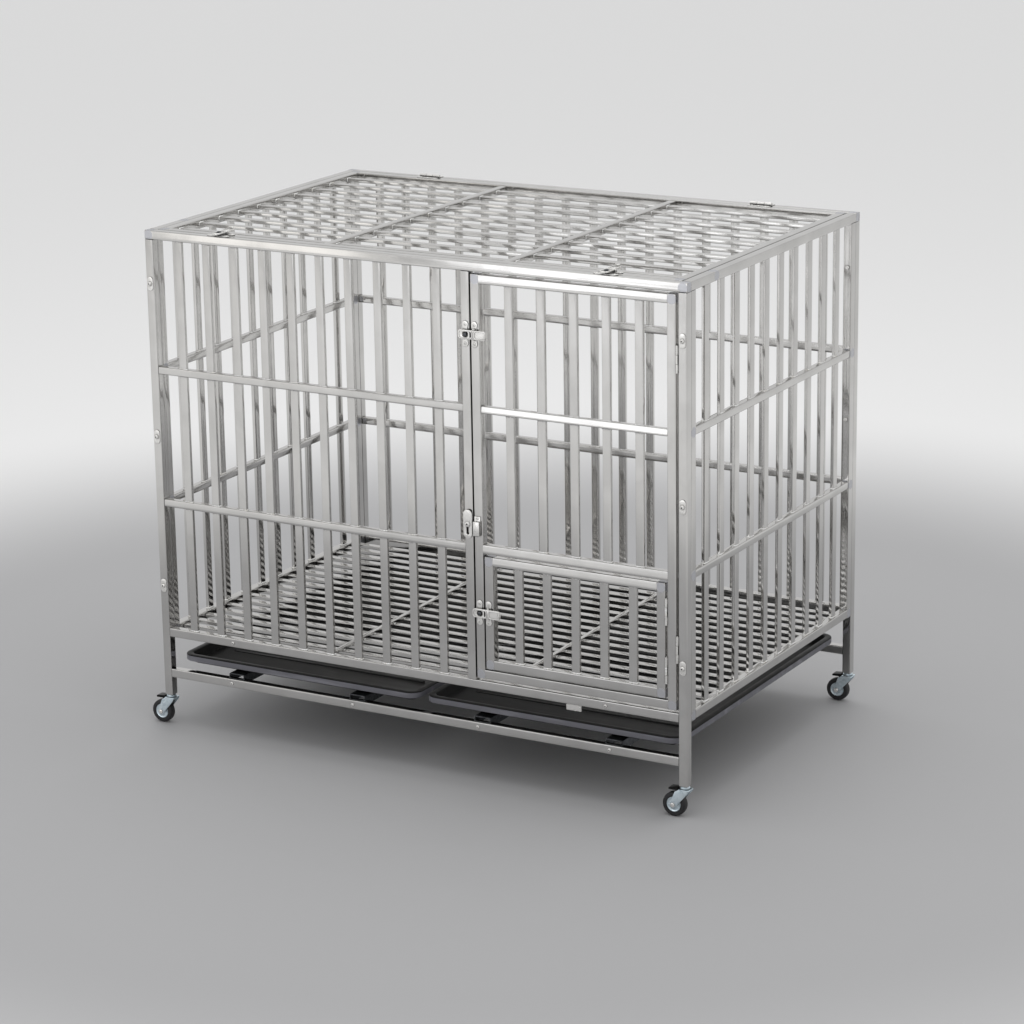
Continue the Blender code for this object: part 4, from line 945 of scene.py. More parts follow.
    def piece(
        self, name: str, body: str, slot: Slot, replaced: Sequence[str] = (), sharp: float = 38.0,
    ) -> bpy.types.Object:
        """Makes the object, dresses it and hands it to the frame.

        Args:
            name: the piece's name.
            body: the body that it rides on.
            slot: the record's material slot; not used.
            replaced: CAD nodes that it stands for.
            sharp: angle in degrees over which an edge stays sharp.

        Returns:
            The new object.
        """
        bmesh.ops.recalc_face_normals(self.bm, faces=self.bm.faces)
        bmesh.ops.transform(self.bm, verts=self.bm.verts, matrix=CAGE.matrix())
        mesh = bpy.data.meshes.new(name)
        self.bm.to_mesh(mesh)
        self.bm.free()
        for material in self.materials:
            mesh.materials.append(material)
        mesh.shade_smooth()
        mesh.set_sharp_from_angle(angle=math.radians(sharp))
        obj = bpy.data.objects.new(name, mesh)
        bpy.context.scene.collection.objects.link(obj)
        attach(obj, body)
        if replaced:
            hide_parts(*replaced)
        LOG.info("%s rides on %s with %d faces", name, body, len(mesh.polygons))
        return obj


def facing(centre: Triple, face: Face) -> Matrix:
    """A place whose z looks the way of a face."""
    turn = Vector(face.value).to_track_quat("Z", "Y").to_matrix().to_4x4()
    return Matrix.Translation(centre) @ turn


def moved(x: float, y: float, z: float) -> Matrix:
    """The matrix of a shift."""
    return Matrix.Translation((x, y, z))


TURN_X = Matrix.Rotation(math.radians(90), 4, "X")
TURN_Y = Matrix.Rotation(math.radians(90), 4, "Y")


def upright(centre: Triple) -> Matrix:
    """A place in the xz plane, with the plate's y along the cage's z."""
    return Matrix.Translation(centre) @ TURN_X


# Bolts and washers

@dataclass
class ClampBolts:
    """Low round bolt heads on oblong washers, up one corner post."""

    heights: Triple = CAGE.bolt_heights
    washer: Pair = (13.8, 29.8)
    washer_thickness: float = 1.55
    head: float = 4.9
    head_height: float = 4.1
    recess: float = 0.55
    sunk: float = 0.4

    def add(self, shape: Shape, x: float, face_y: float, face: Face) -> None:
        """Adds the bolts to a post's face.

        Args:
            shape: the post's shape.
            x: the post's middle.
            face_y: y of the face.
            face: the way that the face looks.
        """
        outward = face.value[1]
        for height in self.heights:
            edge = rounded_rectangle((0.0, 0.0), self.washer, self.washer[0] / 2 - 0.1, 8)
            middle = (x, face_y + outward * (self.washer_thickness - self.sunk) / 2, height)
            shape.plate([edge], self.washer_thickness + self.sunk, upright(middle), 0.45, 1)
            seat = (x, face_y + outward * self.washer_thickness, height)
            shape.socket_head(facing(seat, face), self.head, self.head_height, self.recess, 1)


@dataclass
class SmallBolts:
    """Small low heads along a rail."""

    head: float = 3.9
    head_height: float = 2.3
    recess: float = 0.5
    sunk: float = 0.2

    def add(self, shape: Shape, places: Iterable[float], height: float, face_y: float, face: Face) -> None:
        """Adds the heads to a rail's face.

        Args:
            shape: the rail's shape.
            places: x of each head.
            height: the rail's middle.
            face_y: y of the face.
            face: the way that the face looks.
        """
        for x in places:
            seat = facing((x, face_y - face.value[1] * self.sunk, height), face)
            shape.socket_head(seat, self.head, self.head_height, self.recess, 1)


# Frames

BEAD = 1.9
BEAD_SUNK = 0.4


def rail_welds(heights: Iterable[float]) -> list[Pair]:
    """Finds where a bar's welds are over and under each cross rail.

    Args:
        heights: the rails' middles.

    Returns:
        Each weld's height and the way that it rises.
    """
    spots: list[Pair] = []
    reach = RAIL.height / 2 - BEAD_SUNK
    for height in heights:
        spots += [(height + reach, 1.0), (height - reach, -1.0)]
    return spots


def bolted_rail(shape: Shape, height: float, bolts: Iterable[float], face: Face) -> None:
    """Adds a rail between two posts of the front or back, with bolts in its face.

    Args:
        shape: the rail's shape.
        height: the rail's middle.
        bolts: x of each bolt.
        face: FRONT or BACK, the way that the bolts look.
    """
    start, end = CAGE.clear_x
    y, face_y = (CAGE.half, 0.0) if face is Face.FRONT else (CAGE.depth - CAGE.half, CAGE.depth)
    shape.tube((start, y, height), (end, y, height), CROSS_TUBE, (), 0.2)
    SmallBolts().add(shape, bolts, height, face_y, face)


@dataclass
class Grille:
    """Upright bars through two cross rails, between two posts."""

    start: float
    end: float
    low: float
    high: float
    count: int
    rails: tuple[float, ...]
    centre_y: float
    rail: Section = RAIL

    def add(self, shape: Shape, rails: bool = True) -> None:
        """Adds rails, bars and the welds between them.

        Args:
            shape: the shape that they are added to.
            rails: False where the bars have no cross rail.
        """
        seat = CAGE.seat
        if rails:
            for height in self.rails:
                begin = (self.start + seat, self.centre_y, height)
                finish = (self.end - seat, self.centre_y, height)
                shape.tube(begin, finish, self.rail, chamfer=0.2)
        for number, x in enumerate(even_places(self.start, self.end, self.count, BAR_FRONT.width)):
            begin = (x, self.centre_y, self.low + seat)
            finish = (x, self.centre_y, self.high - seat)
            shape.tube(begin, finish, BAR_FRONT, chamfer=0.2)
            self.welds(shape, x, number)

    def welds(self, shape: Shape, x: float, number: int) -> None:
        """Adds the beads of one bar, at its ends and on both sides of each rail.

        Args:
            shape: the grille's shape.
            x: the bar's middle.
            number: the bar's number, which varies its beads.
        """
        spots = [(self.low + 0.1, 1.0), (self.high - 0.1, -1.0), *rail_welds(self.rails)]
        size = (BAR_FRONT.width, BAR_FRONT.height)
        for index, (height, side) in enumerate(spots):
            seed = number * 31 + index * 7 + int(x)
            shape.bead((x, self.centre_y, height), 2, size, side, BEAD, seed)


@dataclass
class FrontFrame:
    """Posts, rails, centre post and fixed grille of the front."""

    finishes: Finishes
    bars: int = 10
    bottom_bolts: Pair = (181.0, 1069.0)
    tab_centre: float = 993.0
    tab: Triple = (34.0, 2.0, 15.0)
    tab_sunk: float = 3.0

    def build(self) -> None:
        """Builds every piece of the front frame."""
        for side, x in (("left", 0.0), ("right", CAGE.width - CAGE.tube)):
            post = CornerPost(self.finishes, f"front_{side}_post", x, 0.0, Face.FRONT)
            post.build(hinged=side == "right")
        self.top_rail()
        self.bottom_rail()
        self.tray_rail()
        self.centre_post()
        self.grille()

    def shape(self) -> Shape:
        """A new shape of steel with a second material for latch-finish heads."""
        return Shape((self.finishes.steel, self.finishes.latch))

    def top_rail(self) -> None:
        """Builds the rail over the doors, ground at its ends."""
        shape = self.shape()
        z = CAGE.top_middle
        welds = (CAGE.half, CAGE.width - CAGE.half)
        shape.tube((0.0, CAGE.half, z), (CAGE.width, CAGE.half, z), CROSS_TUBE, welds)
        shape.piece("front_top_tube", "root", Slot.STEEL, ["front_top_rail"])

    def bottom_rail(self) -> None:
        """Builds the rail under the doors with its bolts and floor tab."""
        shape = self.shape()
        bolted_rail(shape, CAGE.bottom_rail, self.bottom_bolts, Face.FRONT)
        width, thickness, drop = self.tab
        under = CAGE.bottom_rail - CAGE.half
        low = (self.tab_centre - width / 2, CAGE.half - thickness / 2, under - drop)
        high = (self.tab_centre + width / 2, CAGE.half + thickness / 2, under + self.tab_sunk)
        shape.block(low, high, 0.5, None, 1)
        shape.piece("front_bottom_tube", "root", Slot.STEEL, ["front_bottom_rail"])

    def tray_rail(self) -> None:
        """Builds the lowest front rail with the runners' bolts."""
        shape = self.shape()
        bolted_rail(shape, CAGE.tray_rail, CAGE.runner_centres, Face.FRONT)
        shape.piece("front_tray_tube", "root", Slot.STEEL, ["front_tray_rail"])

    def centre_post(self) -> None:
        """Builds the post between the fixed grille and the door."""
        shape = self.shape()
        x = CAGE.centre_post + CAGE.half
        low = CAGE.bottom_top + CAGE.seat
        shape.tube((x, CAGE.half, low), (x, CAGE.half, CAGE.top_under - CAGE.seat), TUBE, (), 0.2)
        shape.piece("centre_tube", "root", Slot.STEEL, ["centre_post"])

    def grille(self) -> None:
        """Builds the fixed grille left of the door."""
        shape = Shape((self.finishes.steel, self.finishes.bead))
        heights = (CAGE.bottom_top, CAGE.top_under)
        Grille(CAGE.tube, CAGE.centre_post, *heights, self.bars, CAGE.mid_rails, CAGE.half).add(shape)
        shape.piece("front_bars", "root", Slot.STEEL, ["front_grille"])


@dataclass
class CornerPost:
    """A corner post with its clamp bolts and, on the hinge side, the main door's hinge halves."""

    finishes: Finishes
    name: str
    x: float
    y: float
    face: Face
    socket_depth: float = 26.0

    def build(self, hinged: bool = False) -> None:
        """Builds the post, open at its lower end where the caster's stem goes in.

        Args:
            hinged: True for the post that carries the main door.
        """
        shape = Shape((self.finishes.steel, self.finishes.latch))
        x = self.x + CAGE.half
        y = self.y + CAGE.half
        top = CAGE.top_under - CAGE.seat
        shape.tube((x, y, 0.0), (x, y, top), TUBE, (), 0.3, self.socket_depth)
        face_y = self.y if self.face is Face.FRONT else self.y + CAGE.tube
        ClampBolts().add(shape, x, face_y, self.face)
        if hinged:
            DoorHinge(MAIN_HINGE_X, MAIN_HINGE_HEIGHTS).add(shape, 1)
        shape.piece(self.name.replace("post", "upright"), "root", Slot.STEEL, [self.name])


@dataclass
class BackFrame:
    """Posts, rails and grille of the back."""

    finishes: Finishes
    bars: int = 17

    def build(self) -> None:
        """Builds every piece of the back frame."""
        back = CAGE.depth - CAGE.tube
        middle = back + CAGE.half
        for side, x in (("left", 0.0), ("right", CAGE.width - CAGE.tube)):
            CornerPost(self.finishes, f"back_{side}_post", x, back, Face.BACK).build()
        top = Shape((self.finishes.steel, self.finishes.latch))
        z = CAGE.top_middle
        welds = (CAGE.half, CAGE.width - CAGE.half)
        top.tube((0.0, middle, z), (CAGE.width, middle, z), CROSS_TUBE, welds)
        LidHinges().add(top, 1)
        top.piece("back_top_tube", "root", Slot.STEEL, ["back_top_rail"])
        rails = (("bottom", CAGE.bottom_rail, ()), ("tray", CAGE.tray_rail, CAGE.runner_centres))
        for name, height, bolts in rails:
            rail = Shape((self.finishes.steel, self.finishes.latch))
            bolted_rail(rail, height, bolts, Face.BACK)
            rail.piece(f"back_{name}_tube", "root", Slot.STEEL, [f"back_{name}_rail"])
        shape = Shape((self.finishes.steel, self.finishes.bead))
        heights = (CAGE.bottom_top, CAGE.top_under)
        Grille(CAGE.tube, CAGE.width - CAGE.tube, *heights, self.bars, CAGE.mid_rails, middle).add(shape)
        shape.piece("back_bars", "root", Slot.STEEL, ["back_grille"])


@dataclass
class SidePanel:
    """A framed grille between a front and a back post."""

    finishes: Finishes
    name: str
    x: float
    bars: int = 10
    top_patch: float = 128.0
    nut: float = 4.8
    nut_height: float = 4.0
    run_in: float = 1.0

    def build(self) -> None:
        """Builds the panel with its welds and the nuts of its clamp bolts."""
        shape = Shape((self.finishes.steel, self.finishes.bead, self.finishes.latch))
        x = self.x + CAGE.half
        start, end = CAGE.clear_y
        low = CAGE.bottom_rail - CAGE.half
        top = CAGE.top_middle
        near, far = start + CAGE.half, end - CAGE.half
        for y in (near, far):
            welds = [CAGE.half, *(height - low for height in CAGE.mid_rails)]
            shape.tube((x, y, low), (x, y, CAGE.top_under), TUBE, welds, 0.2)
        shape.tube((x, start, top), (x, end, top), CROSS_TUBE, (self.top_patch - start,), 0.3)
        low_near = (x, start + CAGE.tube, CAGE.bottom_rail)
        low_far = (x, end - CAGE.tube, CAGE.bottom_rail)
        shape.tube(low_near, low_far, CROSS_TUBE, (), 0.1)
        inner_start, inner_end = start + CAGE.tube, end - CAGE.tube
        for height in CAGE.mid_rails:
            rail_near = (x, inner_start - self.run_in, height)
            rail_far = (x, inner_end + self.run_in, height)
            shape.tube(rail_near, rail_far, RAIL, (), 0.2)
        bar_low, bar_high = CAGE.bottom_top - self.run_in, CAGE.top_under + self.run_in
        for number, y in enumerate(even_places(inner_start, inner_end, self.bars, BAR_SIDE.height)):
            shape.tube((x, y, bar_low), (x, y, bar_high), BAR_SIDE, (), 0.2)
            self.welds(shape, x, y, number)
        for y, way in ((inner_start, 1.0), (inner_end, -1.0)):
            for height in CAGE.bolt_heights:
                self.add_nut(shape, (x, y, height), way)
        shape.piece(self.name.replace("_panel", "_frame"), "root", Slot.STEEL, [self.name])

    def welds(self, shape: Shape, x: float, y: float, number: int) -> None:
        """Adds the beads of one bar.

        Args:
            shape: the panel's shape.
            x: the panel's middle.
            y: the bar's middle.
            number: the bar's number, which varies its beads.
        """
        spots = [(CAGE.bottom_top, 1.0), (CAGE.top_under, -1.0), *rail_welds(CAGE.mid_rails)]
        size = (BAR_SIDE.width, BAR_SIDE.height)
        for index, (height, side) in enumerate(spots):
            shape.bead((x, y, height), 2, size, side, BEAD, number * 17 + index * 5 + int(x))

    def add_nut(self, shape: Shape, place: Triple, way: float) -> None:
        """Adds a six-sided nut with a broken edge.

        Args:
            shape: the panel's shape.
            place: middle of the nut's seat.
            way: 1 or -1, the way along y that the nut looks.
        """
        face = Face.BACK if way > 0 else Face.FRONT
        nut = self.nut
        profile = [(nut, -0.4), (nut, self.nut_height * 0.8), (nut * 0.86, self.nut_height)]
        shape.lathe(profile, facing(place, face), 6, 2)


# Floor

@dataclass
class FloorGrid:
    """Slats of the floor with two cross bars over them."""

    finishes: Finishes
    count: int = 18
    cross_bars: int = 2
    bead_size: Pair = (3.0, 7.0)
    bead: float = 1.1

    def build(self) -> None:
        """Builds the grid."""
        shape = Shape((self.finishes.steel, self.finishes.bead))
        start, end = CAGE.clear_x
        z = CAGE.bottom_rail
        slats = shared_places(CAGE.tube, CAGE.depth - CAGE.tube, self.count)
        for y in slats:
            shape.tube((start, y, z), (end, y, z), SLAT, (), 0.4)
        low = z + SLAT.height / 2 - 0.5
        middle = low + FLOOR_CROSS.height / 2
        for x in shared_places(0.0, CAGE.width, self.cross_bars):
            near = (x, start, middle)
            far = (x, CAGE.depth - start, middle)
            shape.tube(near, far, FLOOR_CROSS, (), 0.3)
            for number, y in enumerate(slats):
                for side in (-1.0, 1.0):
                    spot = (x + side * FLOOR_CROSS.width / 2 * 0.8, y, z + SLAT.height / 2 - 0.3)
                    shape.bead(spot, 2, self.bead_size, 1.0, self.bead, number + int(x))
        shape.piece("floor_slats", "root", Slot.STEEL, ["floor_grid"])


# Doors

HINGE_FORWARD = 1.0
HINGE_GAP = 5.0
MAIN_HINGE_X = CAGE.door_right + HINGE_GAP / 2
SMALL_HINGE_X = CAGE.small_right + HINGE_GAP / 2
MAIN_MIDDLE = (CAGE.door_bottom + CAGE.door_top) / 2
SMALL_MIDDLE = (CAGE.small_bottom + CAGE.small_top) / 2
MAIN_HINGE_REACH, SMALL_HINGE_REACH = 290.0, 60.0
MAIN_HINGE_HEIGHTS = (MAIN_MIDDLE - MAIN_HINGE_REACH, MAIN_MIDDLE + MAIN_HINGE_REACH)
SMALL_HINGE_HEIGHTS = (SMALL_MIDDLE - SMALL_HINGE_REACH, SMALL_MIDDLE + SMALL_HINGE_REACH)
RUN_IN = 0.6
KNUCKLE_GAP = 0.3


def knuckle_spans(length: float, side: int) -> tuple[Pair, ...]:
    """Shares a hinge's length between the knuckles of its two sides.

    Args:
        length: the hinge's length.
        side: 1 for the side with the two outer knuckles, -1 for the one with the middle knuckle.

    Returns:
        Start and end of each knuckle, from the hinge's middle.
    """
    inner = length / 3 / 2
    if side > 0:
        return (-length / 2, -inner - KNUCKLE_GAP), (inner + KNUCKLE_GAP, length / 2)
    return ((-inner + KNUCKLE_GAP, inner - KNUCKLE_GAP),)


def knuckle(bore: float, barrel: float, span: Pair, edge: float) -> list[Pair]:
    """Draws half of a knuckle's section.

    Args:
        bore: radius of its hole.
        barrel: its outer radius.
        span: its start and end along the axis.
        edge: how far its outer edges are broken.

    Returns:
        Points of radius and height.
    """
    first, last = span
    return [
        (bore, first), (barrel - edge, first), (barrel, first + edge),
        (barrel, last - edge), (barrel - edge, last), (bore, last),
    ]


def door_frame(shape: Shape, box: Sequence[float], rails: Iterable[tuple[float, Section]]) -> None:
    """Adds a door's stiles, ground at their ends, and its cross rails.

    Args:
        shape: the door's shape.
        box: the door's left, right, lower and upper edge.
        rails: height and section of each rail.
    """
    left, right, low, high = box
    tube, half = CAGE.tube, CAGE.half
    for x in (left + half, right - half):
        shape.tube((x, half, low), (x, half, high), TUBE, (half, high - low - half), 0.4)
    for z, section in rails:
        shape.tube((left + tube - RUN_IN, half, z), (right - tube + RUN_IN, half, z), section, (), 0.1)


@dataclass
class DoorHinge:
    """Butt hinges of a door: leaves, knuckles and pins."""

    x: float
    heights: Pair
    length: float = 54.0
    barrel: float = 2.2
    leaf: float = 1.2
    leaf_width: float = 15.0
    bore: float = 1.25
    edge: float = 0.2
    pin_head: float = 1.9

    def add(self, shape: Shape, side: int) -> None:
        """Adds one side's leaves and knuckles.

        Args:
            shape: the shape that they are added to.
            side: 1 for the right of the axis, -1 for the left.
        """
        reach = HINGE_GAP / 2
        near, far = sorted((self.x + side * (reach - self.leaf), self.x + side * (reach + 0.3)))
        for height in self.heights:
            low = (near, -HINGE_FORWARD + self.barrel + 0.6, height - self.length / 2)
            high = (far, -HINGE_FORWARD + self.leaf_width, height + self.length / 2)
            shape.block(low, high, self.edge, None, 1)
            for span in knuckle_spans(self.length, side):
                strap_low = (near, -HINGE_FORWARD, height + span[0])
                strap_high = (far, -HINGE_FORWARD + self.barrel + 1.1, height + span[1])
                shape.block(strap_low, strap_high, self.edge, None, 1)
                ring = knuckle(self.bore, self.barrel, span, self.edge)
                shape.lathe(ring, moved(self.x, -HINGE_FORWARD, height), 20, 1, closed=True)

    def pins(self, finishes: Finishes, name: str, body: str) -> None:
        """Builds the two pins with their heads.

        Args:
            finishes: the built materials.
            name: the door's name.
            body: the body that the pins ride on.
        """
        for height, place in zip(self.heights, ("lower", "upper")):
            shape = Shape((finishes.latch,))
            half = self.length / 2
            head = self.pin_head
            profile = [(0.7, -half), (0.98, -half + 0.4), (0.98, half + 0.35), (head, half + 0.35)]
            profile += [(head, half + 0.85), (head * 0.7, half + 1.25)]
            shape.lathe(profile, moved(self.x, -HINGE_FORWARD, height), 16)
            shape.piece(f"{name}_{place}_pin", body, Slot.LATCH, [f"{name}_{place}_hinge_pin"])


@dataclass
class MainDoor:
    """The large door: frame, grille and hinges."""

    finishes: Finishes
    bars: int = 5
    body: str = "main_door"

    def build(self) -> None:
        """Builds the door's frame and grille."""
        shape = Shape((self.finishes.steel, self.finishes.latch))
        left, right = CAGE.door_left, CAGE.door_right
        low, high = CAGE.door_bottom, CAGE.door_top
        tube, half = CAGE.tube, CAGE.half
        rails = ((low + half, CROSS_TUBE), (MID_LOW, DOOR_TUBE), (high - half, CROSS_TUBE))
        door_frame(shape, (left, right, low, high), rails)
        DoorHinge(MAIN_HINGE_X, MAIN_HINGE_HEIGHTS).add(shape, -1)
        DoorHinge(SMALL_HINGE_X, SMALL_HINGE_HEIGHTS).add(shape, 1)
        shape.piece("main_door_tubes", self.body, Slot.STEEL, ["main_door_frame"])
        bars = Shape((self.finishes.steel, self.finishes.bead))
        upper = (left + tube, right - tube, MID_LOW + half, high - tube)
        Grille(*upper, self.bars, (MID_HIGH,), half, DOOR_RAIL).add(bars)
        bars.piece("main_door_bars", self.body, Slot.STEEL, ["main_door_grille"])
        DoorHinge(MAIN_HINGE_X, MAIN_HINGE_HEIGHTS).pins(self.finishes, "main_door", "root")


@dataclass
class SmallDoor:
    """The feeding door inside the large one."""

    finishes: Finishes
    bars: int = 5
    body: str = "small_door"

    def build(self) -> None:
        """Builds the door with its bars and hinge halves."""
        shape = Shape((self.finishes.steel, self.finishes.bead))
        left, right = CAGE.small_left, CAGE.small_right
        low, high = CAGE.small_bottom, CAGE.small_top
        tube, half = CAGE.tube, CAGE.half
        rails = ((low + half, CROSS_TUBE), (high - half, DOOR_TUBE))
        door_frame(shape, (left, right, low, high), rails)
        bars = Grille(left + tube, right - tube, low + tube, high - tube, self.bars, (), half)
        bars.add(shape, rails=False)
        DoorHinge(SMALL_HINGE_X, SMALL_HINGE_HEIGHTS).add(shape, -1)
        shape.piece("small_door_frame", self.body, Slot.STEEL, ["small_door"])
        DoorHinge(SMALL_HINGE_X, SMALL_HINGE_HEIGHTS).pins(self.finishes, "small_door", "main_door")


# Roof

@dataclass
class LidHinges:
    """Two butt hinges on the back top rail."""

    setback: float = 218.0
    length: float = 50.0
    barrel: float = 3.5
    pin: float = 1.6
    leaf: float = 1.2
    leaf_width: float = 17.0
    sunk: float = 0.3
    edge: float = 0.3
    screw: Triple = (2.6, 0.8, 0.7)
    screw_spread: float = 16.0

    @property
    def axis(self) -> Pair:
        """The hinge line's y and z."""
        return CAGE.depth - CAGE.tube - LID_GAP / 2, CAGE.height + self.barrel + 0.3

    def add(self, shape: Shape, side: int) -> None:
        """Adds one side's leaves and knuckles.

        Args:
            shape: the shape that they are added to.
            side: 1 for behind the axis, which has the pins too, -1 for in front of it.
        """
        y, z = self.axis
        near = y + side * (self.barrel + 0.6)
        far = y + side * self.leaf_width
        for x in (self.setback, CAGE.width - self.setback):
            first_y, last_y = sorted((near, far))
            edge = rounded_rectangle((x, (first_y + last_y) / 2), (self.length, last_y - first_y), 2.0, 4)
            middle = CAGE.height + self.leaf / 2 - self.sunk / 2
            shape.plate([edge], self.leaf + self.sunk, moved(0, 0, middle), 0.3, 1)
            for share in (-1, 0, 1):
                seat = (x + share * self.screw_spread, (near + far) / 2 + side, CAGE.height + self.leaf)
                shape.socket_head(facing(seat, Face.UP), *self.screw, 1)
            for span in knuckle_spans(self.length, side):
                low_y, high_y = sorted((y + side * self.barrel * 0.4, near + side * 0.6))
                strap_low = (x + span[0], low_y, CAGE.height + 0.35)
                shape.block(strap_low, (x + span[1], high_y, CAGE.height + self.leaf), 0.25, None, 1)
                ring = knuckle(self.pin + 0.3, self.barrel, span, self.edge)
                shape.lathe(ring, moved(x, y, z) @ TURN_Y, 28, 1, closed=True)
            if side > 0:
                reach, blunt = self.length / 2, self.pin * 0.8
                profile = [(blunt, -reach + 0.2), (self.pin, -reach + 0.5)]
                profile += [(self.pin, reach - 0.5), (blunt, reach - 0.2)]
                shape.lathe(profile, moved(x, y, z) @ TURN_Y, 20, 1)


@dataclass
class RoofLid:
    """The lid: frame, cross tubes, slats and hinge halves."""

    finishes: Finishes
    slats: int = 10
    cross_tubes: int = 2
    cross_drop: float = 1.5
    bead: float = 1.7
    body: str = "roof_lid"

    def build(self) -> None:
        """Builds the lid."""
        shape = Shape((self.finishes.steel, self.finishes.latch, self.finishes.bead))
        edge = CAGE.tube + LID_GAP
        inner = edge + CAGE.tube
        half = CAGE.half
        z = CAGE.top_middle
        far_x, far_y = CAGE.width - edge, CAGE.depth - edge
        for y in (edge + half, far_y - half):
            shape.tube((edge, y, z), (far_x, y, z), TUBE, (half, far_x - edge - half), 0.4)
        for x in (edge + half, far_x - half):
            shape.tube((x, inner - RUN_IN, z), (x, far_y - CAGE.tube + RUN_IN, z), TUBE, (), 0.1)
        crosses = shared_places(0.0, CAGE.width, self.cross_tubes)
        top = CAGE.height - self.cross_drop
        for x in crosses:
            near = (x, inner - RUN_IN, top - RAIL.height / 2)
            far = (x, far_y - CAGE.tube + RUN_IN, top - RAIL.height / 2)
            shape.tube(near, far, RAIL, (), 0.1)
        reach = RAIL.width / 2 - BEAD_SUNK
        spots = [(inner, 1.0), (CAGE.width - inner, -1.0)]
        for x in crosses:
            spots += [(x - reach, -1.0), (x + reach, 1.0)]
        size = (SLAT.width, SLAT.height)
        field_width = (CAGE.depth - 2 * inner) / self.slats
        for index in range(self.slats):
            y = inner + field_width * (index + 0.5)
            shape.tube((inner - RUN_IN, y, z), (CAGE.width - inner + RUN_IN, y, z), SLAT, (), 0.2)
            for number, (x, side) in enumerate(spots):
                shape.bead((x, y, z), 0, size, side, self.bead, index * 13 + number, 2)
        LidHinges().add(shape, -1)
        shape.piece("roof_lid_tubes", self.body, Slot.STEEL, ["roof_lid"])


# Latches

